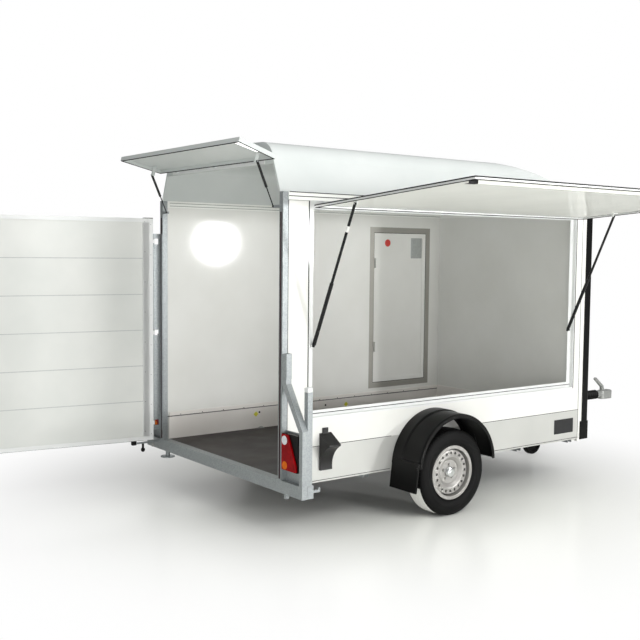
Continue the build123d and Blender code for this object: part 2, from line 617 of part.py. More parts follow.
def rear_flap():
    """Moulded tray over the rear top opening, wider at its free edge, drawn closed and then opened."""
    x, z = RFLAP_HINGE
    top = z - 12
    x0, x1 = x - RFLAP_DEEP + 2, x + 2

    def plate(inset, xa, xb):
        low_half, top_half = RFLAP_HALF - inset, RFLAP_TOP_HALF - inset
        corners = [(-low_half, RFLAP_LOW + inset), (low_half, RFLAP_LOW + inset), (top_half, top - inset),
                   (-top_half, top - inset)]
        return prism_x(corners, xa, xb)
    tray = plate(0, x0, x1) - plate(14, x0 + 8, x1 + 1)
    for y in RFLAP_HINGES_Y:
        tray += box(x - 6, x + 2, y - 12, y + 12, top - 8, z - 4)
        tray += barrel((x, y, z), "y", 12, 7, 0)
        tray -= barrel((x, y, z), "y", 13, 3 + RUN_FIT, 0)
    px, pz = RSTRUT_FLAP
    for side in (-1, 1):
        tray += box(x0 + 4, px + 8, side * (RSTRUT_Y - 24), side * (RSTRUT_Y - 12), pz - 12, pz + 12)
        tray += rod((px, side * (RSTRUT_Y - 13), pz), (px, side * (RSTRUT_Y + 6), pz), RPIN_R)
    return one(turn_rear_flap(tray))


def rear_hinge_rail():
    """Rail on the hood's gable that carries the flap's hinge pins."""
    x, z = RFLAP_HINGE
    half = HALF_W - 215
    rail = box(-4, 0, -half, half, z - 20, z + 26)
    for y in RFLAP_HINGES_Y:
        for s in (-1, 1):
            a, b = y + s * 13, y + s * 25
            rail += box(x, -2, min(a, b), max(a, b), z - 7, z + 7) + rod((x, a, z), (x, b, z), 7)
        rail += rod((x, y - 20, z), (x, y + 20, z), 3)
    return one(rail)


# Rear door

def turn_rear_door(shape):
    x, y = RDOOR_HINGE
    return Pos(x, y, 0) * Rot(0, 0, -RDOOR_OPEN) * Pos(-x, -y, 0) * shape


RDOOR_Y0 = RDOOR_HINGE[1] - 18
RDOOR_Y1 = -(HALF_W - 12)
RDOOR_X0 = RDOOR_HINGE[0] + 8
RDOOR_X1 = RDOOR_X0 + RDOOR_T
RDOOR_HINGES_Z = (RDOOR_LOW + 128, (RDOOR_LOW + RDOOR_TOP) / 2 - 25, RDOOR_TOP - 178)


def rear_door_planks():
    """Six hollow planks of the door leaf with a groove at each joint."""
    edge = RDOOR_EDGE
    x0, x1 = RDOOR_X0 + 6, RDOOR_X1 - 6
    y0, y1 = RDOOR_Y1 + edge, RDOOR_Y0 - edge
    low, top = RDOOR_LOW + edge, RDOOR_TOP - edge
    leaf = box(x0, x1, y0, y1, low, top)
    pitch = (top - low) / PLANKS
    for i in range(1, PLANKS):
        z = low + i * pitch
        for x in (x0, x1):
            leaf -= box(x - 2, x + 2, y0 - 1, y1 + 1, z - 3, z + 3)
    return one(turn_rear_door(leaf))


def rear_door_frame():
    """Stiles and rails round the planks, with the hinge barrels."""
    edge = RDOOR_EDGE
    ring = box(RDOOR_X0, RDOOR_X1, RDOOR_Y1, RDOOR_Y0, RDOOR_LOW, RDOOR_TOP)
    ring -= box(RDOOR_X0 - 1, RDOOR_X1 + 1, RDOOR_Y1 + edge, RDOOR_Y0 - edge,
                RDOOR_LOW + edge, RDOOR_TOP - edge)
    ring += box(RDOOR_X1 - 6, RDOOR_X1, RDOOR_Y0 - 82, RDOOR_Y0 - edge, RDOOR_LOW + edge, RDOOR_TOP - edge)
    hx, hy = RDOOR_HINGE
    for z in RDOOR_HINGES_Z:
        knuckle = box(hx - 9, RDOOR_X0, RDOOR_Y0 - 60, hy, z - 14, z + 14)
        ring += knuckle - barrel((hx, hy, z), "z", 20, 5.0, 0)
        ring += barrel((hx, hy, z), "z", 14, 9, 0)
        ring -= barrel((hx, hy, z), "z", 15, 4 + RUN_FIT, 0)
    return one(turn_rear_door(ring))


def rear_door_hinges():
    """Fixed lugs and pins on the left corner post, bolted on."""
    hx, hy = RDOOR_HINGE
    z0, z1 = RDOOR_HINGES_Z[0] - 60, RDOOR_HINGES_Z[-1] + 60
    bar = box(hx - 2, 0, HALF_W + 2, HALF_W + 8, z0, z1) + box(-PLATE, 0, HALF_W - 40, HALF_W + 8, z0, z1)
    for z in RDOOR_HINGES_Z:
        bar -= box(hx - 20, -14, HALF_W - 5, HALF_W + 12, z - 22, z + 22)
    for z in RDOOR_HINGES_Z:
        for s in (-1, 1):
            a, b = z + s * 15, z + s * 34
            bar += rod((hx, hy, a), (hx, hy, b), 9)
        bar += rod((hx, hy, z - 30), (hx, hy, z + 30), 4)
    return one(bar)


def rear_door_lock():
    """Vertical lock bar with its guides and handle on the door's outer face."""
    x, y = RDOOR_X0 - 14, RDOOR_Y1 + 15
    bar = rod((x, y, RDOOR_LOW + 14), (x, y, RDOOR_TOP - 14), 10)
    tall = RDOOR_TOP - RDOOR_LOW
    for part in (0.035, 0.27, 0.67, 0.965):
        z = RDOOR_LOW + part * tall
        bar += box(x - 12, RDOOR_X0, y - 14, y + 14, z - 18, z + 18)
    handle_z = RDOOR_LOW + 0.31 * tall
    bar += box(x - 14, x - 4, y - 10, y + 190, handle_z, handle_z + 28)
    return one(turn_rear_door(bar))


# Side flap

def turn_side_flap(shape):
    y, z = FLAP_HINGE_Y, FLAP_HINGE_Z
    return Pos(0, y, z) * Rot(-FLAP_OPEN, 0, 0) * Pos(0, -y, -z) * shape


FLAP_X0 = OPEN_REAR + 4
FLAP_X1 = OPEN_FRONT - 4
FLAP_IN = -(HALF_W + 6.0)           # inner face of the closed flap's rim
FLAP_OUT = FLAP_IN - FLAP_T
FLAP_REST = FLAP_IN - 8.0           # inner face inside the rim
FLAP_TOP = FLAP_HINGE_Z - 10
FLAP_LOW = FLAP_HINGE_Z - FLAP_LEN
FLAP_HINGES_X = tuple(FLAP_X0 + part * (FLAP_X1 - FLAP_X0) for part in (0.045, 0.33, 0.67, 0.955))
LED_AT = 1376.0                     # hinge to the middle of the light bar


def side_flap_panel():
    """White panel of the flap inside its aluminium edge."""
    edge = FLAP_EDGE
    panel = box(FLAP_X0 + edge, FLAP_X1 - edge, FLAP_OUT + 1, FLAP_REST - 1, FLAP_LOW + edge, FLAP_TOP - edge)
    return one(turn_side_flap(panel))


def side_flap_frame():
    """Edge round the flap with its raised rim, the hinge barrels and the strut pins."""
    edge, rim = FLAP_EDGE, FLAP_RIM
    ring = box(FLAP_X0, FLAP_X1, FLAP_OUT, FLAP_IN, FLAP_LOW, FLAP_TOP)
    ring -= box(FLAP_X0 + rim, FLAP_X1 - rim, FLAP_REST, FLAP_IN + 1, FLAP_LOW + rim, FLAP_TOP - rim)
    ring -= box(FLAP_X0 + edge, FLAP_X1 - edge, FLAP_OUT - 1, FLAP_IN + 1, FLAP_LOW + edge, FLAP_TOP - edge)
    y, z = FLAP_HINGE_Y, FLAP_HINGE_Z
    arm = [(FLAP_OUT + 1, FLAP_TOP - 34), (FLAP_OUT + 1, FLAP_TOP - 4), (y + 4, z + 3), (y - 5, z - 3)]
    for x in FLAP_HINGES_X:
        ring += prism_x(arm, x - 20, x + 20)
        ring += barrel((x, y, z), "x", 20, 7, 0)
        ring -= barrel((x, y, z), "x", 21, 3.5 + RUN_FIT, 0)
    pin_z = z - STRUT_FLAP
    for x, inward, ring_x in zip(STRUT_X, (1, -1), (FLAP_X0 + edge - 2, FLAP_X1 - edge + 2)):
        ring += box(ring_x, x + inward * 15, FLAP_REST - 1, FLAP_REST + 4, pin_z - 14, pin_z + 14)
        ring += strut_bracket(x, inward, pin_z, FLAP_REST)
    return one(turn_side_flap(ring))


def led_bar():
    """Light bar along the free edge, on the flap's inner face."""
    middle = FLAP_HINGE_Z - LED_AT
    bar = box(FLAP_X0 + FLAP_RIM, FLAP_X1 - FLAP_RIM, FLAP_REST, FLAP_REST + 22, middle - 15, middle + 15)
    bar = fillet(bar.edges().filter_by(Axis.X).sort_by(Axis.Y)[-2:], 5)
    return one(turn_side_flap(bar))


def side_hinge_rail():
    """Canopy profile under the roof trim that carries the flap's hinge pins."""
    y, z = FLAP_HINGE_Y, FLAP_HINGE_Z
    rail = box(FLAP_X0, FLAP_X1, -HALF_W - 3, -HALF_W, z - 8, WALL_TOP)
    rail += box(FLAP_X0, FLAP_X1, y - 9, -HALF_W, WALL_TOP - 3, WALL_TOP)
    for x in FLAP_HINGES_X:
        for s in (-1, 1):
            a, b = x + s * 21, x + s * 40
            rail += rod((a, y, z), (b, y, z), 7)
            rail += box(min(a, b), max(a, b), y - 4, y + 4, z, WALL_TOP - 1)
        rail += rod((x - 30, y, z), (x + 30, y, z), 3.5)
    return one(rail)


# Struts: the cylinder hangs on the moving piece, the rod slides in it

def strut_pair(upper, lower, axis, r_cyl, r_rod, eye, closed, stub, sleeve):
    """Cylinder at the upper pin and rod at the lower pin, long enough for the closed distance.
    The stub stands on the rod's eye towards its bracket, and a sleeve may cover the rod."""
    u, v = Vector(*upper), Vector(*lower)
    d = (v - u).normalized()
    length = (v - u).length
    reach = closed - eye - 12.0
    dip = reach - (length - closed) - eye - 6.0
    mouth = u + d * reach

    def at(point, along):
        p = point + d * along
        return (p.X, p.Y, p.Z)

    body = rod(at(u, eye - 3), at(mouth, 0), r_cyl)
    body += barrel(at(u, 0), axis, 5.0, eye, 0)
    body -= rod(at(u, eye + 4), at(mouth, 1), r_rod + 0.5)
    body -= barrel(at(u, 0), axis, 6.0, pin_radius(axis) + RUN_FIT, 0)
    bar = rod(at(mouth, -dip), at(v, 0), r_rod)
    bar += barrel(at(v, 0), axis, 5.0, eye, 0)
    tip = (v.X + stub, v.Y, v.Z) if axis == "x" else (v.X, v.Y + stub, v.Z)
    bar += rod(at(v, 0), tip, pin_radius(axis))
    if sleeve:
        tube = rod(at(v, -eye - 1), at(mouth, -5), sleeve) - rod(at(v, -eye - 5), at(mouth, -6), r_cyl + 1.0)
        bar += tube
    return one(body), one(bar)


def pin_radius(axis):
    """Pins along X belong to the side flap, pins along Y to the rear flap."""
    return PIN_R if axis == "x" else RPIN_R


def side_strut(x, plate):
    """Strut at a station along X whose lower bracket's plate spans the given range."""
    upper = (x,) + turn_point_x(STRUT_Y, FLAP_HINGE_Z - STRUT_FLAP)
    lower = (x, STRUT_Y, STRUT_POST_Z)
    closed = FLAP_HINGE_Z - STRUT_FLAP - STRUT_POST_Z
    stub = plate[1] - x + STUB_GAP if plate[1] < x else plate[0] - x - STUB_GAP
    return strut_pair(upper, lower, "x", STRUT_R, ROD_R, 9.0, closed, stub, GUARD_TUBE_R)


def rear_strut(y):
    """Strut of the rear flap at a station along Y."""
    x, z = turn_point_y(*RSTRUT_FLAP)
    closed = hypot(RSTRUT_FLAP[0] - RSTRUT_POST[0], RSTRUT_FLAP[1] - RSTRUT_POST[1])
    stub = (STUB_END - STUB_GAP) * (1 if y > 0 else -1)
    post_pin = (RSTRUT_POST[0], y, RSTRUT_POST[1])
    return strut_pair((x, y, z), post_pin, "y", RSTRUT_R, RROD_R, 7.0, closed, stub, 0)


def turn_point_x(y, z):
    """Where a point of the closed side flap lies in the open pose."""
    a = radians(-FLAP_OPEN)
    dy, dz = y - FLAP_HINGE_Y, z - FLAP_HINGE_Z
    return FLAP_HINGE_Y + dy * cos(a) - dz * sin(a), FLAP_HINGE_Z + dy * sin(a) + dz * cos(a)


def turn_point_y(x, z):
    """Where a point of the closed rear flap lies in the open pose."""
    a = radians(RFLAP_OPEN)
    dx, dz = x - RFLAP_HINGE[0], z - RFLAP_HINGE[1]
    return RFLAP_HINGE[0] + dx * cos(a) + dz * sin(a), RFLAP_HINGE[1] - dx * sin(a) + dz * cos(a)


# Side door

def side_door_frame():
    """Frame in the left wall round the side door."""
    ring = box(DOOR_REAR, DOOR_FRONT, HALF_W - WALL, HALF_W, DOOR_LOW, DOOR_TOP)
    ring -= box(DOOR_REAR + DOOR_FRAME, DOOR_FRONT - DOOR_FRAME, HALF_W - WALL - 1, HALF_W + 1,
                DOOR_LOW + DOOR_FRAME, DOOR_TOP - DOOR_FRAME)
    return one(ring)


SDOOR_HINGE = (DOOR_FRONT - 22.0, HALF_W + 12.0)     # X, Y of its hinge line
SDOOR_HINGES_Z = (DOOR_LOW + 173, (DOOR_LOW + DOOR_TOP) / 2, DOOR_TOP - 175)


def side_door_hinges():
    """Fixed lugs and pins of the side door, screwed to its frame."""
    hx, hy = SDOOR_HINGE
    z0, z1 = SDOOR_HINGES_Z[0] - 45, SDOOR_HINGES_Z[-1] + 45
    bar = box(hx - 4, hx + 18, HALF_W, HALF_W + 4, z0, z1)
    for z in SDOOR_HINGES_Z:
        bar -= box(hx - 20, hx + 8, HALF_W - 1, HALF_W + 5, z - 16, z + 16)
        for s in (-1, 1):
            a, b = z + s * 15, z + s * 32
            bar += rod((hx, hy, a), (hx, hy, b), 8) + box(hx - 4, hx + 8, HALF_W, hy, min(a, b), max(a, b))
        bar += rod((hx, hy, z - 24), (hx, hy, z + 24), 3.5)
    return one(bar)


def side_door_leaf():
    """Leaf with its hinge arms and two lock cases on the inside."""
    gap = 5.0
    x0, x1 = DOOR_REAR + DOOR_FRAME + gap, DOOR_FRONT - DOOR_FRAME - gap
    z0, z1 = DOOR_LOW + DOOR_FRAME + gap, DOOR_TOP - DOOR_FRAME - gap
    leaf = box(x0, x1, HALF_W - WALL + 2, HALF_W, z0, z1)
    leaf -= box(x0 + 40, x1 - 40, HALF_W - WALL + 1, HALF_W - WALL + 6, z0 + 40, z1 - 40)
    hx, hy = SDOOR_HINGE
    for z in SDOOR_HINGES_Z:
        leaf += box(x1 - 50, hx, HALF_W, hy, z - 14, z + 14) - barrel((hx, hy, z), "z", 20, 5, 0)
        leaf += barrel((hx, hy, z), "z", 14, 8, 0)
        leaf -= barrel((hx, hy, z), "z", 15, 3.5 + RUN_FIT, 0)
    for z in (z0 + 0.24 * (z1 - z0), z0 + 0.80 * (z1 - z0)):
        leaf += box(x0 + 2, x0 + 38, HALF_W - WALL - 22, HALF_W - WALL + 3, z - 45, z + 45)
    middle = (z0 + z1) / 2
    leaf += box(x0 + 8, x0 + 30, HALF_W, HALF_W + 18, middle - 70, middle + 50)
    return one(leaf)


# Lamps

def tail_lamp(side):
    """Lamp housing on the recessed lamp plate, between the corner post and the outer post."""
    body = box(-4, POST - PLATE, HALF_W + 9, BEAM_HALF - LAMP_POST - 6, FLOOR_TOP + 80, FLOOR_TOP + 324)
    body = fillet(body.edges().filter_by(Axis.X), 14)
    return one(body if side > 0 else across(body))


def tail_lens(side):
    """Lens with its slanted outer edge."""
    y, z = HALF_W, FLOOR_TOP
    corners = [(y + 19, z + 84), (y + 185, z + 84), (y + 180, z + 128), (y + 90, z + 320), (y + 19, z + 320)]
    lens = prism_x(corners, -14, -4)
    lens = fillet(lens.edges().filter_by(Axis.X), 10)
    return one(lens if side > 0 else across(lens))


PARTS = {
    "chassis_frame": chassis_frame(),
    "rear_portal": rear_portal(),
    "prop_foot": prop_foot(),
    "axle_beam": axle_beam(),
    "tyre_left": tyre_at(1),
    "tyre_right": tyre_at(-1),
    "rim_left": rim_at(1),
    "rim_right": rim_at(-1),
    "mudguard_left": mudguard(),
    "mudguard_right": across(mudguard()),
    "chock_left": chock(),
    "chock_right": across(chock()),
    "drawbar": drawbar(),
    "overrun_housing": overrun_housing(),
    "gaiter": gaiter(),
    "coupling_head": coupling_head(),
    "coupling_handle": coupling_handle(),
    "brake_lever": brake_lever(),
    "jockey_tube": jockey_tube(),
    "jockey_fork": jockey_fork(),
    "jockey_wheel": jockey_wheel(),
    "floor_panel": floor_panel(),
    "skirt_left": skirt(1),
    "skirt_right": skirt(-1),
    "left_wall": left_wall(),
    "right_wall": right_wall(),
    "front_wall": front_wall(),
    "side_frame": side_frame(),
    "corner_left": corner_profile(1),
    "corner_right": corner_profile(-1),
    "roof_trim": roof_trim(),
    "roof_hood": roof_hood(),
    "kick_strip": kick_strip(),
    "rear_hinge_rail": rear_hinge_rail(),
    "rear_flap": rear_flap(),
    "rear_door_planks": rear_door_planks(),
    "rear_door_frame": rear_door_frame(),
    "rear_door_hinges": rear_door_hinges(),
    "rear_door_lock": rear_door_lock(),
    "side_hinge_rail": side_hinge_rail(),
    "side_flap_panel": side_flap_panel(),
    "side_flap_frame": side_flap_frame(),
    "led_bar": led_bar(),
    "side_door_frame": side_door_frame(),
    "side_door_hinges": side_door_hinges(),
    "side_door_leaf": side_door_leaf(),
    "tail_lamp_left": tail_lamp(1),
    "tail_lamp_right": tail_lamp(-1),
    "tail_lens_left": tail_lens(1),
    "tail_lens_right": tail_lens(-1),
}
for place, x, plate in zip(("rear", "front"), STRUT_X, STRUT_PLATES):
    PARTS[f"side_cylinder_{place}"], PARTS[f"side_rod_{place}"] = side_strut(x, plate)
for place, y in zip(("right", "left"), (-RSTRUT_Y, RSTRUT_Y)):
    PARTS[f"rear_cylinder_{place}"], PARTS[f"rear_rod_{place}"] = rear_strut(y)

for node, shape in PARTS.items():
    export_step(Pos(-SOCKET_X, 0, -SOCKET_Z) * shape, f"parts/{node}.step")
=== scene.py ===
# %% Load the frame
import math

import bpy
import numpy as np
from mathutils import Matrix, Vector


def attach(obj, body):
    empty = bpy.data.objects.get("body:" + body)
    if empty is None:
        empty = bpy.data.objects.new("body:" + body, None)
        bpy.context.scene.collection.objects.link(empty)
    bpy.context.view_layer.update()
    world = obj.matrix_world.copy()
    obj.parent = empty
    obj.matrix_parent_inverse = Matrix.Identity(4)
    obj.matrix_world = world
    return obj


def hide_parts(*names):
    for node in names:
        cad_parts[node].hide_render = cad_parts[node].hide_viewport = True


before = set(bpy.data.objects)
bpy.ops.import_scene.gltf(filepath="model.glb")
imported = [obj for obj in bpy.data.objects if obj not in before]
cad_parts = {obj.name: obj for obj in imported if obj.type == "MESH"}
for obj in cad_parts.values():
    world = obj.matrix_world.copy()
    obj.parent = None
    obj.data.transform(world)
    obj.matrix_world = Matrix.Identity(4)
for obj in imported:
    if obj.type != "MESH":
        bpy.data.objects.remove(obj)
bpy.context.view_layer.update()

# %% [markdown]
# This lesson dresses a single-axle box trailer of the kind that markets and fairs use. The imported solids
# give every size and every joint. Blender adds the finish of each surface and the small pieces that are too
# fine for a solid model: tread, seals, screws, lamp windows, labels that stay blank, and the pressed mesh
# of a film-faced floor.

TAU = 2 * math.pi

# %% [markdown]
# A maker measures a trailer from its rear face, its centre plane and the ground, in millimetres. The frame
# has its origin in the tow ball socket instead, so one function turns the maker's numbers into metres of
# the frame. Arrays go through it as well as single points. The sizes below are the box's own, and the small
# pieces take their places from them.

# %% Places in the maker's measure
SOCKET = np.array([4590.0, 0.0, 465.0])
BODY_LEN = 3095.0                   # rear face to the front wall's outer face
HALF_W = 855.0                      # centre plane to a side wall's outer face
WALL_IN = HALF_W - 30.0             # inner face of a side wall
FLOOR_TOP = 382.0
BOARD_TOP = FLOOR_TOP + 196.0       # where the silver boards meet the white walls
WALL_TOP = 2226.0
TRIM_TOP = WALL_TOP + 52.0          # top of the roof trim, foot of the hood
OPEN_REAR, OPEN_FRONT = 210.0, BODY_LEN - 125.0
SILL = FLOOR_TOP + 383.0            # lower edge of the side opening
SIDES = ((1, "left"), (-1, "right"))


def at(*point):
    """Metres in the frame = (millimetres from rear face, centre plane and ground, less the socket) / 1000."""
    p = np.asarray(point[0] if len(point) == 1 else point, dtype=float)
    return (p - SOCKET) / 1000.0


print("rear face of the box at x =", at(0, 0, 0)[0], "m")

# %% [markdown]
# The camera stands where the photographer stood: right and behind, at eye height. Its place, direction and
# lens were worked out from the straight edges of the box, so the render's edges fall where the photograph's
# do. The lens is kept as a focal length in pixels of a 640 pixel frame and turned into millimetres of a 36
# mm sensor.

# %% Camera
FRAME_PX = 640.0
FOCAL_PX = 955.8
EYE = at(-3523.0, -5977.0, 1884.0)
YAW, PITCH, ROLL = math.radians(53.22), math.radians(-4.03), math.radians(0.545)

camera_data = bpy.data.cameras.new("camera")
camera_data.sensor_width = 36.0
camera_data.lens = FOCAL_PX / FRAME_PX * camera_data.sensor_width
camera_data.clip_end = 200.0
camera = bpy.data.objects.new("camera", camera_data)
bpy.context.scene.collection.objects.link(camera)
forward = Vector((math.cos(PITCH) * math.cos(YAW), math.cos(PITCH) * math.sin(YAW), math.sin(PITCH)))
right = Vector((math.sin(YAW), -math.cos(YAW), 0.0))
up = right.cross(forward)
right_rolled = math.cos(ROLL) * right + math.sin(ROLL) * up
up_rolled = math.cos(ROLL) * up - math.sin(ROLL) * right
turn = Matrix((right_rolled, up_rolled, -forward)).transposed()
camera.matrix_world = Matrix.Translation(Vector(EYE)) @ turn.to_4x4()
bpy.context.scene.camera = camera
print("lens", round(camera_data.lens, 2), "mm")

# %% [markdown]
# The stage is a pale sealed floor under a white sky. The sky shows white to the camera through Is Camera
# Ray. For all other rays it is bright overhead and dim at the horizon, so that the ground under the trailer
# stays dark. Two lamps stand far off on the right, no higher than the open flap: they light the long left
# wall through the side opening and leave the front wall in half shade. A wide lamp overhead shapes the
# hood, and three weak ones beside the camera, on the left and behind lift the shaded sides. Farther out the
# floor turns to the same white for the camera, so that no horizon line shows, and near the wheels it keeps
# its shadows.

# %% Stage and light


def srgb(code):
    """Linear colour from sRGB hex: c/12.92 below 0.04045, else ((c + 0.055)/1.055) to the power 2.4."""
    raw = np.array([int(code[i:i + 2], 16) for i in (1, 3, 5)]) / 255.0
    linear = np.where(raw <= 0.04045, raw / 12.92, ((raw + 0.055) / 1.055) ** 2.4)
    return (*linear.tolist(), 1.0)


def add(tree, kind, inputs=None, **settings):
    """Adds one node: settings go to its properties, inputs to its sockets as links or plain values."""
    made = tree.nodes.new(kind)
    for name, value in settings.items():
        setattr(made, name, value)
    for socket, value in (inputs or {}).items():
        if isinstance(value, bpy.types.NodeSocket):
            tree.links.new(value, made.inputs[socket])
        else:
            made.inputs[socket].default_value = value
    return made


scene = bpy.context.scene
scene.view_settings.view_transform = "Standard"

world = bpy.data.worlds.new("sky")
scene.world = world
world.use_nodes = True
sky = world.node_tree
sky.nodes.clear()
looking = add(sky, "ShaderNodeTexCoord").outputs["Generated"]
height = add(sky, "ShaderNodeSeparateXYZ", {"Vector": looking}).outputs["Z"]
dome = add(sky, "ShaderNodeMapRange", {0: height, "From Max": 0.9, "To Min": 0.03, "To Max": 0.58}).outputs[0]
for_eye = add(sky, "ShaderNodeLightPath").outputs["Is Camera Ray"]
strength = add(sky, "ShaderNodeMix", {"Factor": for_eye, 2: dome, 3: 1.0}).outputs[0]
sky_light = add(sky, "ShaderNodeBackground", {"Color": srgb("#FFFFFF"), "Strength": strength})
add(sky, "ShaderNodeOutputWorld", {"Surface": sky_light.outputs[0]})


def lamp(name, place, target, size, power, colour, shape="SQUARE"):
    """A flat lamp aimed at a target; its power is in watts."""
    data = bpy.data.lights.new(name, "AREA")
    data.shape = shape
    data.size = size
    data.energy = power
    data.color = srgb(colour)[:3]
    made = bpy.data.objects.new(name, data)
    scene.collection.objects.link(made)
    aim = Vector(at(*target)) - Vector(at(*place))
    turn = aim.to_track_quat("-Z", "Y").to_matrix().to_4x4()
    made.matrix_world = Matrix.Translation(Vector(at(*place))) @ turn
    return made


lamp("far key", (6290, -9000, 2070), (900, 0, 1250), 0.80, 260.0, "#FFFFFF", "DISK")
lamp("side key", (2700, -9500, 2100), (2100, 0, 1250), 1.6, 200.0, "#FFFFFF")
lamp("overhead", (1700, -7000, 8500), (1500, -900, 0), 6.0, 520.0, "#FFFFFF")
lamp("camera fill", (-3600, -6300, 1500), (500, 800, 600), 1.8, 118.0, "#FFFFFF")
lamp("left fill", (3500, 8500, 5200), (1500, 800, 1200), 4.0, 105.0, "#FFFFFF")
lamp("rear fill", (-7000, -1500, 3200), (400, 0, 1200), 4.0, 50.0, "#FAFCFF")

floor_mesh = bpy.data.meshes.new("studio_floor")
reach = 60000.0
corners = [at(-reach, -reach, 0), at(reach, -reach, 0), at(reach, reach, 0), at(-reach, reach, 0)]
floor_mesh.from_pydata([c.tolist() for c in corners], [], [(0, 1, 2, 3)])
studio_floor = bpy.data.objects.new("studio_floor", floor_mesh)
scene.collection.objects.link(studio_floor)
floor_paint = bpy.data.materials.new("studio floor, sealed screed")
floor_paint.use_nodes = True
screed = floor_paint.node_tree
screed_shader = screed.nodes["Principled BSDF"]
screed_shader.inputs["Base Color"].default_value = srgb("#F7F8F3")
screed_shader.inputs["Roughness"].default_value = 0.22
spot = add(screed, "ShaderNodeTexCoord").outputs["Object"]
middle = (-at(1400, 0, 0)[0], 0.0, 0.0)
spot = add(screed, "ShaderNodeMapping", {"Vector": spot, "Location": middle, "Scale": (1, 1, 0)})
away = add(screed, "ShaderNodeVectorMath", {0: spot.outputs[0]}, operation="LENGTH")
fade = add(screed, "ShaderNodeMapRange", {0: away.outputs["Value"], "From Min": 1.0, "From Max": 3.6},
           interpolation_type="SMOOTHSTEP")
eye_ray = add(screed, "ShaderNodeLightPath").outputs["Is Camera Ray"]
share = add(screed, "ShaderNodeMath", {0: fade.outputs[0], 1: eye_ray}, operation="MULTIPLY")
blank = add(screed, "ShaderNodeEmission", {"Color": srgb("#FFFFFF"), "Strength": 1.0})
both = add(screed, "ShaderNodeMixShader",
           {0: share.outputs[0], 1: screed_shader.outputs[0], 2: blank.outputs[0]})
screed.links.new(both.outputs[0], screed.nodes["Material Output"].inputs["Surface"])
floor_mesh.materials.append(floor_paint)

# %% [markdown]
# Each finish starts from what the real one is. A material here is one function that fills the shader, so
# that the same recipe can be used at another scale. All patterns read Object coordinates, which are metres
# of the frame, so a pattern's scale is one over its size in metres.

# %% Helpers for finishes


def finish(name, colour, rough, metallic=0.0, sheen=0.5):
    """A new material with its shader's plain values, its tree, and its object coordinates."""
    made = bpy.data.materials.new(name)
    made.use_nodes = True
    tree = made.node_tree
    shader = tree.nodes["Principled BSDF"]
    shader.inputs["Base Color"].default_value = srgb(colour)
    shader.inputs["Roughness"].default_value = rough
    shader.inputs["Metallic"].default_value = metallic
    shader.inputs["Specular IOR Level"].default_value = sheen
    place = add(tree, "ShaderNodeTexCoord").outputs["Object"]
    return made, tree, shader, place


def mottle(tree, place, size_mm, low, high, detail=3.0, squeeze=(1, 1, 1)):
    """Colour that wanders between two hex codes over patches of about the given size."""
    scaled = add(tree, "ShaderNodeMapping", {"Vector": place, "Scale": squeeze})
    noise = add(tree, "ShaderNodeTexNoise",
                {"Vector": scaled.outputs[0], "Scale": 1000.0 / size_mm, "Detail": detail})
    ramp = add(tree, "ShaderNodeValToRGB", {"Fac": noise.outputs["Fac"]})
    ramp.color_ramp.elements[0].position = 0.3
    ramp.color_ramp.elements[0].color = srgb(low)
    ramp.color_ramp.elements[1].position = 0.7
    ramp.color_ramp.elements[1].color = srgb(high)
    return ramp.outputs["Color"]


def wander(tree, place, size_mm, low, high, squeeze=(1, 1, 1)):
    """A number that wanders between low and high over patches of about the given size."""
    scaled = add(tree, "ShaderNodeMapping", {"Vector": place, "Scale": squeeze})
    noise = add(tree, "ShaderNodeTexNoise",
                {"Vector": scaled.outputs[0], "Scale": 1000.0 / size_mm, "Detail": 2.0})
    spread = add(tree, "ShaderNodeMapRange", {0: noise.outputs["Fac"], "To Min": low, "To Max": high})
    return spread.outputs[0]


def relief(tree, shader, height, depth_mm, strength=1.0):
    """Bump from a height of 0 to 1 that stands for the given depth."""
    bump = add(tree, "ShaderNodeBump",
               {"Height": height, "Distance": depth_mm / 1000.0, "Strength": strength})
    tree.links.new(bump.outputs[0], shader.inputs["Normal"])
    return bump


# %% [markdown]
# White coated sandwich panel: polyester-faced sheet over foam. It is smooth, a little waxy and very
# slightly wavy, because the skin follows the foam. A faint mottle and a slow wander of the roughness keep
# it from looking like paper.

# %% White sandwich panel


def white_panel(name, colour, tint):
    """White coat: mottle in the colour, wander in the roughness, a wave in the relief, a clear coat."""
    made, tree, shader, place = finish(name, colour, 0.5, sheen=0.3)
    tree.links.new(mottle(tree, place, 420, colour, tint), shader.inputs["Base Color"])
    tree.links.new(wander(tree, place, 160, 0.44, 0.56), shader.inputs["Roughness"])
    wave = add(tree, "ShaderNodeTexNoise", {"Vector": place, "Scale": 1000.0 / 90, "Detail": 1.0})
    relief(tree, shader, wave.outputs["Fac"], 0.35, 0.5)
    shader.inputs["Coat Weight"].default_value = 0.35
    shader.inputs["Coat Roughness"].default_value = 0.07
    return made


PANEL_WHITE = white_panel("coated sandwich panel, white", "#E7E7E3", "#E1E1DC")
PLANK_WHITE = white_panel("polyester coating on hollow plank", "#DCDDD9", "#D3D5D1")
# The flap skin and the roof trim take a lighter white than the walls.
FLAP_WHITE = white_panel("polyester coating on flap skin, lighter white", "#F6F7F2", "#EEEFEA")
COATED_WHITE = white_panel("powder-coated aluminium profile, white", "#E5E6E5", "#DEE0DF")
# The scuff strip is light grey enamel, but its colour here is lighter than the walls' white: painted light
# that offsets the shade the sill casts on the strip.
SCUFF_COAT_LIFTED = white_panel("stoved enamel on scuff strip, light grey", "#F0ECE7", "#E7E2DC")
GELCOAT = white_panel("gelcoat on glass fibre, moulded", "#CFD3D1", "#C8CDCB")

# %% [markdown]
# Anodised aluminium profile is extruded, so its fine lines run along its length. A noise that is stretched
# fiftyfold along one axis makes those lines. The lower boards are rolled sheet with the lines along the
# trailer.

# %% Anodised aluminium
LINE_MM = 3.0                       # across the lines, coarser than real ones so that they show
ALONG_X = (0.02, 1.0, 1.0)          # the noise is squeezed along the way the profile was pushed out
ALONG_Z = (1.0, 1.0, 0.02)


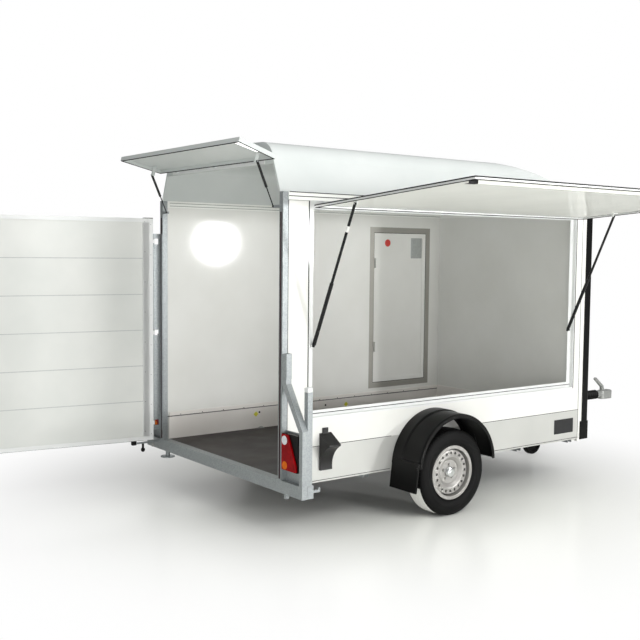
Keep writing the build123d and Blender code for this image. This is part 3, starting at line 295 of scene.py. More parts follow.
def anodised(name, colour, tint, squeeze):
    """Aluminium whose noise is squeezed along the way it was drawn, so that it reads as lines."""
    made, tree, shader, place = finish(name, colour, 0.36, 0.35)
    tree.links.new(mottle(tree, place, 600, colour, tint), shader.inputs["Base Color"])
    scaled = add(tree, "ShaderNodeMapping", {"Vector": place, "Scale": squeeze})
    lines = add(tree, "ShaderNodeTexNoise",
                {"Vector": scaled.outputs[0], "Scale": 1000.0 / LINE_MM, "Detail": 3.0})
    rough = add(tree, "ShaderNodeMapRange", {0: lines.outputs["Fac"], "To Min": 0.30, "To Max": 0.48})
    tree.links.new(rough.outputs[0], shader.inputs["Roughness"])
    relief(tree, shader, lines.outputs["Fac"], 0.08, 0.5)
    return made


ANODISED = anodised("anodised aluminium, extruded", "#ECEDEC", "#E2E4E2", ALONG_X)
ANODISED_POST = anodised("anodised aluminium, extruded upright", "#A9A79F", "#9D9B94", ALONG_Z)
BOARD_SILVER = anodised("anodised aluminium board, rolled", "#CDCDC9", "#C3C4C0", ALONG_X)

# %% [markdown]
# Hot-dip galvanised steel cools in crystals, the spangle, about 6 mm across. A Voronoi pattern gives each
# crystal its own grey and its own roughness. Plating leaves much finer crystals, so zinc-plated steel uses
# 2 mm.

# %% Galvanised steel


def galvanised(name, colour, tint, spangle_mm):
    """Zinc whose crystals each have their own grey and roughness."""
    made, tree, shader, place = finish(name, colour, 0.46, 0.5)
    cells = add(tree, "ShaderNodeTexVoronoi", {"Vector": place, "Scale": 1000.0 / spangle_mm})
    grey = add(tree, "ShaderNodeSeparateColor", {"Color": cells.outputs["Color"]}).outputs[0]
    shade = add(tree, "ShaderNodeMix", {"Factor": grey, 6: srgb(colour), 7: srgb(tint)}, data_type="RGBA")
    tree.links.new(shade.outputs[2], shader.inputs["Base Color"])
    rough = add(tree, "ShaderNodeMapRange", {0: grey, "To Min": 0.38, "To Max": 0.54})
    tree.links.new(rough.outputs[0], shader.inputs["Roughness"])
    relief(tree, shader, wander(tree, place, 5, 0.0, 1.0), 0.12, 0.6)
    return made


GALVANISED = galvanised("galvanised steel, hot-dipped", "#A3A8A9", "#93989A", 6.0)
ZINC = galvanised("zinc-plated steel, pressed", "#A8A9A6", "#989A98", 2.0)

# %% [markdown]
# Mudguards, corner profiles and lamp housings are moulded in black polypropylene with a fine grain. The
# grain is a small noise in the bump, and a mottle gives the black its slight unevenness. Rubber and enamel
# use the same recipe with a coarser grain or a smoother skin.

# %% Black plastic and rubber


def black_moulding(name, colour, tint, grain_mm, rough, sheen=0.3):
    """Black plastic, rubber or enamel with a grain of the given size."""
    made, tree, shader, place = finish(name, colour, rough, sheen=sheen)
    tree.links.new(mottle(tree, place, 120, colour, tint), shader.inputs["Base Color"])
    tree.links.new(wander(tree, place, 30, rough - 0.07, rough + 0.07), shader.inputs["Roughness"])
    grain = add(tree, "ShaderNodeTexNoise", {"Vector": place, "Scale": 1000.0 / grain_mm, "Detail": 2.0})
    relief(tree, shader, grain.outputs["Fac"], 0.25, 0.6)
    return made


BLACK_PP = black_moulding("polypropylene, moulded black", "#050505", "#090909", 2.5, 0.38, 0.16)
TYRE_BLACK = black_moulding("tyre rubber, vulcanised", "#090909", "#0F0F0F", 4.0, 0.55, 0.12)
SEAL_BLACK = black_moulding("EPDM seal, extruded", "#0A0A0B", "#111112", 3.0, 0.6)
CHOCK_BLACK = black_moulding("recycled rubber, pressed", "#0D0C0C", "#161414", 3.0, 0.42, 0.4)
BLACK_ENAMEL = black_moulding("enamel on steel tube, black", "#0A0A0B", "#101011", 6.0, 0.28)

# %% [markdown]
# The rim is pressed steel in silver paint. The film-faced plywood of the floor has a dark phenolic skin
# with a pressed mesh, and shoes have worn it paler where people stand.

# %% Silver paint and film-faced plywood
MESH_MM = 9.0                       # pitch of the mesh, coarser than the real 3 mm so that it shows


def silver_paint(name):
    """Silver paint: a fine fleck in the relief and a wander in the roughness."""
    made, tree, shader, place = finish(name, "#ABA9A6", 0.36, 0.5)
    tree.links.new(mottle(tree, place, 60, "#ABA9A6", "#A09E9A"), shader.inputs["Base Color"])
    tree.links.new(wander(tree, place, 25, 0.34, 0.50), shader.inputs["Roughness"])
    relief(tree, shader, wander(tree, place, 3, 0.0, 1.0), 0.08, 0.5)
    return made


def film_plywood(name):
    """Phenolic film with a pressed mesh, worn unevenly."""
    made, tree, shader, place = finish(name, "#2E2723", 0.55)
    tree.links.new(mottle(tree, place, 350, "#262020", "#342C29"), shader.inputs["Base Color"])
    mesh = add(tree, "ShaderNodeTexVoronoi",
               {"Vector": place, "Scale": 1000.0 / MESH_MM, "Randomness": 0.0}, feature="DISTANCE_TO_EDGE")
    relief(tree, shader, mesh.outputs["Distance"], 0.6, 0.7)
    tree.links.new(wander(tree, place, 200, 0.42, 0.66), shader.inputs["Roughness"])
    return made


SILVER_PAINT = silver_paint("silver paint on pressed steel")
FILM_PLYWOOD = film_plywood("film-faced birch plywood, mesh pressed")

# %% [markdown]
# Bright steel is ground and polished: the door's lock bar and the hub caps. The lamp lenses are acrylic,
# coloured in the mass, with fine ribs inside, and the light bar's cover is opal acrylic.

# %% Bright steel and acrylic


def bright_steel(name, rough):
    """Polished steel, its roughness wandering with the last polish."""
    made, tree, shader, place = finish(name, "#D6D8D8", rough, 1.0)
    tree.links.new(wander(tree, place, 8, rough - 0.06, rough + 0.08), shader.inputs["Roughness"])
    return made


def acrylic(name, colour, tint, transmission):
    """Acrylic with moulded ribs across it."""
    made, tree, shader, place = finish(name, colour, 0.2, sheen=0.1)
    tree.links.new(mottle(tree, place, 30, colour, tint), shader.inputs["Base Color"])
    shader.inputs["Transmission Weight"].default_value = transmission
    shader.inputs["IOR"].default_value = 1.49
    ribs = add(tree, "ShaderNodeTexWave", {"Vector": place, "Scale": 1000.0 / 25.0}, bands_direction="Z")
    relief(tree, shader, ribs.outputs["Fac"], 0.4, 0.5)
    return made


BRIGHT_STEEL = bright_steel("ground steel, bright", 0.22)
LENS_RED = acrylic("acrylic, red in the mass", "#A00008", "#760006", 0.0)
OPAL = acrylic("acrylic, opal", "#F2F2EC", "#E8E8E2", 0.0)

# %% [markdown]
# A few small things need finishes of their own: the lit cover of the lamp under the rear flap, the clear
# and amber lamp windows, paper and film stickers, the blank plate, the grey strips that paint the shade in
# the grooves between the door's planks, and the oxide-red rubber of the door gasket.

# %% Finishes of the small things


def lit(name, colour, strength):
    """A cover lit from behind, a little brighter in places."""
    made, tree, shader, place = finish(name, colour, 0.35)
    glow = mottle(tree, place, 40, colour, "#FFFFFF")
    tree.links.new(glow, shader.inputs["Base Color"])
    tree.links.new(glow, shader.inputs["Emission Color"])
    shader.inputs["Emission Strength"].default_value = strength
    return made


def film(name, colour, tint, rough):
    """Paper, film or thin enamel without any print."""
    made, tree, shader, place = finish(name, colour, rough)
    tree.links.new(mottle(tree, place, 18, colour, tint), shader.inputs["Base Color"])
    tree.links.new(wander(tree, place, 12, rough - 0.06, rough + 0.08), shader.inputs["Roughness"])
    relief(tree, shader, wander(tree, place, 1.2, 0.0, 1.0), 0.03, 0.5)
    return made


LIT_OPAL = lit("acrylic, opal and lit", "#FFFFFA", 0.9)
CLEAR = acrylic("acrylic, clear over a bright dish", "#E8ECEE", "#D8DDE0", 0.1)
AMBER = acrylic("acrylic, amber in the mass", "#EC7A18", "#D96A10", 0.1)
PAPER = film("coated paper sticker, blank", "#F1F1EE", "#E6E5E0", 0.5)
STICKER_RED = film("printed film sticker, red and blank", "#D4423A", "#C93A33", 0.4)
STICKER_YELLOW = film("printed film sticker, yellow and blank", "#E3DE4A", "#D8D23F", 0.4)
BLANK_PLATE = film("enamelled plate, left blank", "#1F1F21", "#18181A", 0.35)
STICKER_GREY = film("printed film sticker, grey and blank", "#A9ADAA", "#9DA19E", 0.4)
# The grey of the plank joints is painted shade: it stands for the shade in the grooves between the planks.
PLANK_GROOVE_SHADE = film("joint between planks, painted groove shade", "#B9BCBB", "#AEB1B0", 0.5)
GASKET = black_moulding("rubber gasket, oxide red on black", "#3A2226", "#2A191C", 3.0, 0.55)

# %% [markdown]
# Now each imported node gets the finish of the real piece. The table says which finish goes on which nodes,
# and the loop swaps the node's slots for it. The nodes' shapes and places stay as they came.

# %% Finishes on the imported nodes
FINISH_OF = {
    GALVANISED: ["chassis_frame", "rear_portal", "axle_beam", "drawbar", "jockey_tube", "jockey_fork",
                 "overrun_housing", "prop_foot", "rear_door_hinges"],
    ZINC: ["coupling_head", "coupling_handle", "brake_lever", "side_door_hinges"],
    TYRE_BLACK: ["tyre_left", "tyre_right", "jockey_wheel"],
    SILVER_PAINT: ["rim_left", "rim_right"],
    BLACK_PP: ["mudguard_left", "mudguard_right", "corner_left", "corner_right", "gaiter",
               "tail_lamp_left", "tail_lamp_right"],
    CHOCK_BLACK: ["chock_left", "chock_right"],
    FILM_PLYWOOD: ["floor_panel"],
    PANEL_WHITE: ["left_wall", "right_wall", "front_wall", "side_door_leaf"],
    FLAP_WHITE: ["side_flap_panel", "roof_trim"],
    PLANK_WHITE: ["rear_door_planks"],
    GELCOAT: ["roof_hood", "rear_flap"],
    COATED_WHITE: ["side_frame", "side_hinge_rail", "rear_hinge_rail", "rear_door_frame"],
    SCUFF_COAT_LIFTED: ["kick_strip"],
    ANODISED: ["side_flap_frame"],
    ANODISED_POST: ["side_door_frame"],
    BOARD_SILVER: ["skirt_left", "skirt_right"],
    BRIGHT_STEEL: ["rear_door_lock"],
    BLACK_ENAMEL: ["side_cylinder_rear", "side_cylinder_front", "rear_cylinder_left", "rear_cylinder_right",
                   "side_rod_rear", "side_rod_front", "rear_rod_left", "rear_rod_right"],
    LENS_RED: ["tail_lens_left", "tail_lens_right"],
    OPAL: ["led_bar"],
}
for material, names in FINISH_OF.items():
    for name in names:
        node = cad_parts[name]
        node.data.materials.clear()
        node.data.materials.append(material)
print("finishes on", sum(len(names) for names in FINISH_OF.values()), "nodes of", len(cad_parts))

# %% [markdown]
# New pieces are surfaces of numpy points in the maker's millimetres. A grid of rows and columns of points
# becomes a mesh of quads; where a row shrinks to a single point, a pole, merging the doubled points closes
# it. After the merge the normals are worked out again, so that every face points outwards, and edges
# sharper than an angle stay crisp.

# %% From points to a piece
import bmesh


def quads(rows, cols, around=True, along=False):
    """Corner numbers of a grid's faces; around joins last column to first, along last row to first."""
    index = np.arange(rows * cols).reshape(rows, cols)
    if around:
        index = np.hstack([index, index[:, :1]])
    if along:
        index = np.vstack([index, index[:1]])
    return np.stack([index[:-1, :-1], index[1:, :-1], index[1:, 1:], index[:-1, 1:]], axis=-1).reshape(-1, 4)


def piece(name, points, faces, material, body, sharp=35.0):
    """Makes a mesh object from points in millimetres and rides it on a body."""
    mesh = bpy.data.meshes.new(name)
    mesh.from_pydata(at(points.reshape(-1, 3)).tolist(), [], faces.tolist())
    work = bmesh.new()
    work.from_mesh(mesh)
    bmesh.ops.remove_doubles(work, verts=work.verts, dist=1e-6)
    bmesh.ops.recalc_face_normals(work, faces=work.faces)
    work.to_mesh(mesh)
    work.free()
    mesh.shade_smooth()
    mesh.set_sharp_from_angle(angle=math.radians(sharp))
    mesh.materials.append(material)
    made = bpy.data.objects.new(name, mesh)
    scene.collection.objects.link(made)
    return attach(made, body)


def copies(grid, faces, places):
    """The same grid of points at many places, as one list of points and one list of faces."""
    shift = np.arange(len(places))[:, None, None] * grid.reshape(-1, 3).shape[0]
    points = places[:, None, :] + grid.reshape(-1, 3)[None, :, :]
    return points.reshape(-1, 3), (faces[None] + shift).reshape(-1, faces.shape[1])


def spun(outline, sides, facing):
    """A small turned body: outline as (radius, height) rows, turned about the direction it faces."""
    r, h = np.asarray(outline, float).T
    a = np.linspace(0, TAU, sides, endpoint=False)
    u, v = r[:, None] * np.cos(a), r[:, None] * np.sin(a)
    high = np.broadcast_to(h[:, None], u.shape)
    order = {"x": (high, u, v), "y": (u, high, v), "z": (u, v, high)}[facing[-1]]
    flip = -1.0 if facing[0] == "-" else 1.0
    grid = np.stack(order, axis=-1)
    grid[..., "xyz".index(facing[-1])] *= flip
    return grid, quads(len(r), sides)


HEAD = [(0, -1), (1, -1), (1, 0.25), (0.86, 0.7), (0.5, 0.95), (0, 1.0)]


def heads(name, places, radius, height, facing, material, body, sides=10):
    """Domed heads of rivets or screws: the outline's radii times one size, its heights times the other."""
    outline = [(r * radius, h * height if h > 0 else h * 0.5) for r, h in HEAD]
    grid, faces = spun(outline, sides, facing)
    points, faces = copies(grid, faces, np.asarray(places, float))
    return piece(name, points, faces, material, body)


def sleeve(start, stop, radius, wall, sides=32):
    """A short tube between two points of one X, its ends rounded, as a closed grid round its own axis."""
    start, stop = np.asarray(start, float), np.asarray(stop, float)
    along = stop - start
    long = np.linalg.norm(along)
    along /= long
    across = np.cross(along, [1.0, 0.0, 0.0])
    outline = [(radius - wall, 0), (radius - 0.3, 0), (radius, 0.6), (radius, long - 0.6),
               (radius - 0.3, long), (radius - wall, long)]
    a = np.linspace(0, TAU, sides, endpoint=False)[None, :, None]
    r, h = np.asarray(outline)[:, 0][:, None, None], np.asarray(outline)[:, 1][:, None, None]
    grid = start + along * h + r * (np.cos(a) * np.array([1.0, 0.0, 0.0]) + np.sin(a) * across)
    return grid, quads(len(outline), sides, along=True)


print("a rivet head has", len(spun(HEAD, 10, "z")[1]), "faces")

# %% [markdown]
# Seals and edge strips run round a flap or a door. Each is an outline carried round a closed polygon: at a
# corner the outline is stretched along the mitre, which is the sum of the two edge normals over one plus
# their dot product. The result is given in the flap's own plane, and a second function lays that plane into
# the trailer and turns it open.

# %% Strips round a polygon, and turned planes
SIDE_HINGE = (-(HALF_W + 41.0), WALL_TOP - 12.0)       # Y and Z of the side flap's hinge line
REAR_HINGE = (-12.0, TRIM_TOP + 208.0)                 # X and Z of the rear flap's
DOOR_HINGE = (-58.0, HALF_W + 7.0)                     # X and Y of the rear door's


def ring(corners, outline):
    """(a, b, h) points of an outline of (outward, height) pairs carried round a clockwise polygon."""
    corners, outline = np.asarray(corners, float), np.asarray(outline, float)
    edge = np.roll(corners, -1, axis=0) - corners
    normal = np.stack([-edge[:, 1], edge[:, 0]], axis=1) / np.linalg.norm(edge, axis=1)[:, None]
    before = np.roll(normal, 1, axis=0)
    mitre = (before + normal) / (1.0 + (before * normal).sum(axis=1, keepdims=True))
    flat = corners[:, None, :] + mitre[:, None, :] * outline[None, :, :1]
    high = np.broadcast_to(outline[None, :, 1:], flat.shape[:2] + (1,))
    return np.concatenate([flat, high], axis=2), quads(len(corners), len(outline), around=True, along=True)


def half_round(width, height, steps=8):
    """Outline of a bead: a flat foot and a half circle, as (across, up) pairs."""
    a = np.linspace(0.0, math.pi, steps)
    bead = np.stack([width / 2 * np.cos(a), height * np.sin(a)], axis=1)
    return np.vstack([bead, [[-width / 2, -0.5], [width / 2, -0.5]]])


def turned(points, first, second, centre, degrees):
    """Turns two of the coordinates about a centre: the first axis swings towards the second."""
    a = math.radians(degrees)
    out = np.array(points, dtype=float)
    u, v = out[..., first] - centre[0], out[..., second] - centre[1]
    out[..., first] = centre[0] + u * math.cos(a) - v * math.sin(a)
    out[..., second] = centre[1] + u * math.sin(a) + v * math.cos(a)
    return out


def on_side_flap(points):
    """Points of the closed side flap, swung 94.2 degrees up about its hinge line."""
    return turned(points, 1, 2, SIDE_HINGE, -94.2)


def on_rear_flap(points):
    """Points of the closed rear flap, swung 105 degrees up about its hinge line."""
    return turned(points, 0, 2, REAR_HINGE, -105.0)


def on_rear_door(points):
    """Points of the closed rear door, swung 98 degrees open about its hinge line."""
    return turned(points, 0, 1, DOOR_HINGE, -98.0)


# %% [markdown]
# The side flap closes on a black rubber bead that sits on the aluminium rim, and a black strip covers the
# cut edge of its outer skin. A thin joint shows between the rim and the white skin. The light bar is a long
# opal cover with a black cap at each end.

# %% Side flap: bead, edge strip, joint and end caps
FLAP_REAR, FLAP_FRONT = OPEN_REAR + 4.0, OPEN_FRONT - 4.0
FLAP_LOW, FLAP_TOP = SILL - 8.0, SIDE_HINGE[1] - 10.0
FLAP_IN = -(HALF_W + 6.0)           # inner face of the closed flap's rim
FLAP_OUT = FLAP_IN - 18.0           # its outer skin
FLAP_REST = FLAP_IN - 8.0           # its inner face inside the rim


def flap_ring(name, inset, face, outline):
    """A black strip round the side flap, at a distance in from its edge and with its foot on a face."""
    rear, front, low, top = FLAP_REAR + inset, FLAP_FRONT - inset, FLAP_LOW + inset, FLAP_TOP - inset
    grid, faces = ring([(rear, low), (rear, top), (front, top), (front, low)], outline)
    grid = np.stack([grid[..., 0], face + grid[..., 2], grid[..., 1]], axis=-1)
    return piece(name, on_side_flap(grid), faces, SEAL_BLACK, "side_flap")


flap_ring("side_flap_seal", 7.0, FLAP_IN, half_round(9.0, 4.5))
strip = [(-0.6, 0.2), (0.7, 0.2), (0.9, 0.5), (0.9, 7.5), (0.7, 7.8), (-0.6, 7.8)]
flap_ring("side_flap_edge_strip", 0.0, FLAP_OUT, strip)
flap_ring("side_flap_joint", 42.0, FLAP_REST, half_round(3.0, 0.9, 5))


def rounded_box(x0, x1, y0, y1, z0, z1, r=3.0):
    """A block whose edges are rounded: ten rings of a rounded rectangle that draw in towards both ends."""
    a = np.linspace(0, TAU, 32, endpoint=False) + TAU / 64
    ca, sa = np.cos(a), np.sin(a)
    inset = r * (1 - np.sin(np.linspace(0, math.pi / 2, 4)))
    depth = r * (1 - np.cos(np.linspace(0, math.pi / 2, 4)))
    half_y, half_z = (y1 - y0) / 2, (z1 - z0) / 2
    flat = min(1.4 * r, (r + min(half_y, half_z)) / 2)
    x = np.concatenate([[x0, x0], x0 + depth, x1 - depth[::-1], [x1, x1]])
    shrink = np.concatenate([[0, flat], inset, inset[::-1], [flat, 0]])
    ring_y = (half_y - r) * np.sign(ca) + r * ca
    ring_z = (half_z - r) * np.sign(sa) + r * sa
    keep_y = (1 - shrink[:, None] / half_y)
    keep_z = (1 - shrink[:, None] / half_z)
    y = (y0 + y1) / 2 + ring_y[None, :] * keep_y
    z = (z0 + z1) / 2 + ring_z[None, :] * keep_z
    y[[0, -1]] = (y0 + y1) / 2
    z[[0, -1]] = (z0 + z1) / 2
    grid = np.stack([np.broadcast_to(x[:, None], y.shape), y, z], axis=-1)
    return grid, quads(len(x), len(a))


def block(name, box, material, body, place=None):
    """One block with rounded edges as a piece, moved by the place function where there is one."""
    grid, faces = rounded_box(*box)
    return piece(name, grid if place is None else place(grid), faces, material, body)


BAR_Z = 838.0                       # middle of the light bar when the flap is closed
BAR_CAPS = {"rear": (FLAP_REAR + 14.5, FLAP_REAR + 92.0), "front": (FLAP_FRONT - 40.0, FLAP_FRONT - 14.5)}
for end, (start, stop) in BAR_CAPS.items():
    cap = (start, stop, FLAP_REST - 0.5, FLAP_REST + 23.0, BAR_Z - 16.0, BAR_Z + 16.0, 4.0)
    block("light_bar_cap_" + end, cap, BLACK_PP, "side_flap", on_side_flap)
print("side flap dressed")

# %% [markdown]
# The rear flap is a moulded tray. Its rim carries the same black bead all round, and a lit lamp with an
# opal cover sits inside its right edge, so that the rear is lit when the flap is up.

# %% Rear flap: bead and lamp
TRAY_RIM = -10.0                    # the rim's face when the flap is closed
TRAY_LOW, TRAY_TOP = TRIM_TOP - 121.0, REAR_HINGE[1] - 18.0
LOW_HALF, TOP_HALF = HALF_W - 10.0, HALF_W - 66.0       # the tray is wider at its free edge
tray_corners = [(-LOW_HALF, TRAY_LOW), (-TOP_HALF, TRAY_TOP), (TOP_HALF, TRAY_TOP), (LOW_HALF, TRAY_LOW)]
grid, faces = ring(tray_corners, half_round(10.0, 4.0))
grid = np.stack([TRAY_RIM + grid[..., 2], grid[..., 0], grid[..., 1]], axis=-1)
piece("rear_flap_seal", on_rear_flap(grid), faces, SEAL_BLACK, "rear_top_flap")

LAMP_Y, LAMP_LOW, LAMP_TOP, LAMP_BACK = -780.0, 2172.0, 2352.0, -32.5
block("rear_flap_lamp", (LAMP_BACK, -14.0, LAMP_Y - 20.0, LAMP_Y + 20.0, LAMP_LOW, LAMP_TOP, 5.0),
      LIT_OPAL, "rear_top_flap", on_rear_flap)
for end, z in {"low": LAMP_LOW - 4.0, "high": LAMP_TOP - 2.0}.items():
    block("rear_flap_lamp_end_" + end, (LAMP_BACK, -13.0, LAMP_Y - 22.0, LAMP_Y + 22.0, z, z + 6.0, 2.0),
          BLACK_PP, "rear_top_flap", on_rear_flap)
print("rear flap dressed")

# %% [markdown]
# The rear door is six hollow planks in a white coated profile. A flange of the stile laps over the planks
# on the hinge side. Rivets hold the planks, in two rows there and one row at the free edge. A black cap
# closes the top of the stile, a rubber strip runs along the foot, and a gasket on each corner post seals
# the closed door.

# %% Rear door: rivets, caps and gaskets
DOOR_IN = -10.0                     # inner face of the closed door's profile
PLANK_LOW, PLANK_TOP = FLOOR_TOP + 40.0, WALL_TOP - 118.0
PLANKS = 6
RIVET_ROWS = ((826.0, 0.0), (778.0, 24.0), (-828.0, 0.0))      # place across the door, and shift upwards
rivet_z = np.linspace(PLANK_LOW + 18.0, PLANK_TOP - 18.0, 8)
places = on_rear_door(np.array([(DOOR_IN, y, z + shift) for y, shift in RIVET_ROWS for z in rivet_z]))
grid, faces = spun([(r * 3.4, h * 1.4) for r, h in HEAD], 10, "x")
points, faces = copies(turned(grid, 0, 1, (0.0, 0.0), -98.0), faces, places)
piece("rear_door_rivets", points, faces, ZINC, "rear_door")

block("rear_door_stile_cap", (-51.0, -9.0, 774.0, 844.5, 2137.0, 2143.0, 1.5),
      SEAL_BLACK, "rear_door", on_rear_door)
block("rear_door_bottom_seal", (-40.0, -20.0, -835.0, 836.0, 387.5, 392.5, 1.5),
      SEAL_BLACK, "rear_door", on_rear_door)

# Grey strips on the joints paint the shade that falls in the grooves between the planks.
for number, z in enumerate(np.linspace(PLANK_LOW, PLANK_TOP, PLANKS + 1)[1:-1]):
    block(f"plank_joint_{number}", (-18.5, -17.2, -812.0, 813.0, z - 2.9, z + 2.9, 0.5),
          PLANK_GROOVE_SHADE, "rear_door", on_rear_door)
block("rear_door_stile_flange", (-17.0, DOOR_IN, 762.0, 815.0, PLANK_LOW - 1.0, PLANK_TOP + 1.0, 1.2),
      COATED_WHITE, "rear_door", on_rear_door)

for side, name in SIDES:
    y = side * (HALF_W - 21.0)
    block("post_gasket_" + name, (-6.0, 0.5, y - 5.0, y + 5.0, FLOOR_TOP + 10.0, WALL_TOP - 80.0, 1.8),
          GASKET, "trailer")
print("rear door dressed")

# %% [markdown]
# A road tyre is a ring of rubber whose outline is carried once round the axle. The outline bulges at the
# sidewall and is nearly flat under the tread. Four grooves run round it, and slanting slots cut the ribs
# into blocks, 72 to a turn. Both are taken off the radius as depths, so the whole tyre is one function of
# turn and outline.

# %% Tyres
WHEEL = np.array([0.424 * BODY_LEN, HALF_W + 181.5, 314.5])
CROWN_R, CROWN_DROP = 314.4, 1.9    # tread's radius at the middle, and how much less it is at the shoulder
SHOULDER = 64.0                     # half width of the tread
GROOVES = np.array([-42.0, -15.0, 15.0, 42.0])
PITCHES = 72
slot_share = np.array([0.0, 0.03, 0.20, 0.23, 0.42, 0.62, 0.82])
turn = ((np.arange(PITCHES)[:, None] + slot_share[None, :]) / PITCHES * TAU).ravel()
in_slot = np.tile(np.array([0.0, 1.0, 1.0, 0.0, 0.0, 0.0, 0.0]), PITCHES)

side_wall = np.array([(178.2, 63.0), (178.2, 76.0), (183.0, 78.5), (197.8, 77.6), (200.0, 81.5),
                      (207.0, 88.0), (215.5, 93.4), (227.0, 95.9), (238.0, 96.9), (240.0, 97.4),
                      (250.0, 97.4), (252.0, 96.8), (266.0, 96.2), (280.0, 94.7), (292.0, 90.4),
                      (301.0, 84.6), (307.0, 78.0), (311.0, 71.5)])
groove_knots = (GROOVES[:, None] + np.array([-3.6, -2.6, 2.6, 3.6])[None, :]).ravel()
tread_w = np.sort(np.concatenate([[-SHOULDER, -52.0, 0.0, 52.0, SHOULDER], groove_knots]))
tread_r = CROWN_R - CROWN_DROP * (np.abs(tread_w) / SHOULDER) ** 2
inner_wall = np.array([(193.8, 65.0), (215.0, 83.2), (250.0, 87.3), (286.0, 75.3), (302.0, 57.3)])
outline_r = np.concatenate([side_wall[:, 0], tread_r[::-1], side_wall[::-1, 0], inner_wall[:, 0],
                            inner_wall[::-1, 0]])
outline_w = np.concatenate([side_wall[:, 1], tread_w[::-1], -side_wall[::-1, 1], -inner_wall[:, 1],
                            inner_wall[::-1, 1]])
outside = np.concatenate([np.ones(2 * len(side_wall) + len(tread_w)), np.zeros(2 * len(inner_wall))])


def tread_depth(w, r, slotted, outer):
    """Depth in mm: 7 in the round grooves; 6 in the slots across the ribs, fading out down the shoulder."""
    grooved = (np.abs(w[None, :] - GROOVES[:, None]).min(axis=0) < 3.0) * (r > 305.0)
    reach = np.clip((r - 300.0) / 10.0, 0.0, 1.0) * (np.abs(w) > 14.0)
    return outer * np.maximum(7.0 * grooved[None, :], 6.0 * slotted[:, None] * reach[None, :])


def tyre_grid(side):
    """Points at radius less depth round the axle; slots slant by 0.055 radian from middle to shoulder."""
    r = outline_r[None, :] - tread_depth(outline_w, outline_r, in_slot, outside)
    slant = 0.055 * outside * np.clip(outline_w / SHOULDER, -1, 1) * np.clip((outline_r - 290.0) / 20.0, 0, 1)
    a = turn[:, None] + slant[None, :]
    x = WHEEL[0] + r * np.cos(a)
    z = WHEEL[2] + r * np.sin(a)
    y = side * WHEEL[1] + outline_w[None, :] + np.zeros_like(r)
    return np.stack([x, y, z], axis=-1)


for side, name in SIDES:
    faces = quads(len(turn), len(outline_r), around=True, along=True)
    made = piece("tyre_tread_" + name, tyre_grid(side), faces, TYRE_BLACK, "wheel_" + name,
                 sharp=28.0)
    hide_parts("tyre_" + name)
print("faces in a tyre", len(made.data.polygons))

# %% [markdown]
# The hub shows a bright cap and five zinc-plated bolts, and a new tyre still has its paper label stuck on
# the tread. The label stays blank. It follows the tread, so it is a patch of the same round surface, a
# fifth of a millimetre higher.

# %% Hub caps, bolts and the tyre's label
HUB_FACE = 44.2                     # wheel's middle to the face that the cap sits on
BOLTS, BOLT_CIRCLE = 5, 56.0        # number, and radius of the circle they stand on
cap_outline = [(0, 0), (39.5, 0), (40.0, 14), (37.5, 17), (33.0, 26), (20.0, 29.2), (0, 29.8)]
bolt_outline = [(0, 12), (9.6, 12), (9.6, 19.5), (8.4, 21), (0, 21.6)]
a = np.radians(360.0 / BOLTS * np.arange(BOLTS) + 18.0)
for side, name, out in ((1, "left", "y"), (-1, "right", "-y")):
    face_y = side * (WHEEL[1] + HUB_FACE)
    grid, faces = spun(cap_outline, 40, out)
    piece("hub_cap_" + name, grid + np.array([WHEEL[0], face_y, WHEEL[2]]), faces, BRIGHT_STEEL,
          "wheel_" + name)
    grid, faces = spun(bolt_outline, 6, out)
    places = np.stack([WHEEL[0] + BOLT_CIRCLE * np.cos(a), np.full(BOLTS, face_y - side * 8.0),
                       WHEEL[2] + BOLT_CIRCLE * np.sin(a)], axis=1)
    points, faces = copies(grid, faces, places)
    piece("wheel_bolts_" + name, points, faces, ZINC, "wheel_" + name)


def on_tread(a, w, above):
    """Points on the right tyre: radius = crown less the drop at that width, plus a height above it."""
    r = CROWN_R + above - CROWN_DROP * (np.abs(w) / SHOULDER) ** 2
    return np.stack([WHEEL[0] + r * np.cos(a), -(WHEEL[1] + w) + 0 * a, WHEEL[2] + r * np.sin(a)], axis=-1)


LABEL_THICK = 0.7
a = np.radians(np.linspace(195, 243, 30))[:, None]
w = np.linspace(-62.0, 66.0, 12)[None, :]
over, under = on_tread(a, w, 0.2), on_tread(a, w, 0.2 - LABEL_THICK)
label = np.concatenate([under, over[:, ::-1]], axis=1)
first = np.broadcast_to(under[0, 6], label[:1].shape)
last = np.broadcast_to(under[-1, 6], label[:1].shape)
label = np.concatenate([first, label, last])
piece("tyre_label_right", label, quads(*label.shape[:2]), PAPER, "wheel_right")
print("wheels dressed")

# %% [markdown]
# In the red lens of each tail lamp sit a clear round reversing window at the top and an amber one at the
# foot. Each is a shallow dish of acrylic with a raised ring round it.

# %% Tail lamp windows
LENS_FACE = -13.8                   # rear face of the lens
WINDOWS = (("reversing", 908.0, 662.0, 30.0, CLEAR), ("turn", 912.0, 497.0, 27.0, AMBER))
for side, name in SIDES:
    for what, y, z, radius, material in WINDOWS:
        outline = [(0, 0), (radius, 0), (radius, 1.6), (radius - 3, 2.4), (radius - 5, 1.2),
                   (radius * 0.45, 2.6), (0, 3.0)]
        grid, faces = spun(outline, 36, "-x")
        grid = grid + np.array([LENS_FACE, side * y, z])
        piece(f"lamp_{what}_{name}", grid, faces, material, "trailer")
print("lamps dressed")

# %% [markdown]
# Small fittings: white plastic caps on the support legs, a bolt through each mudguard's lip, blank stickers
# inside, screw heads along the scuff strip, lashing rings on the floor, a paper band on one strut, and a
# bare plate on the right silver board.

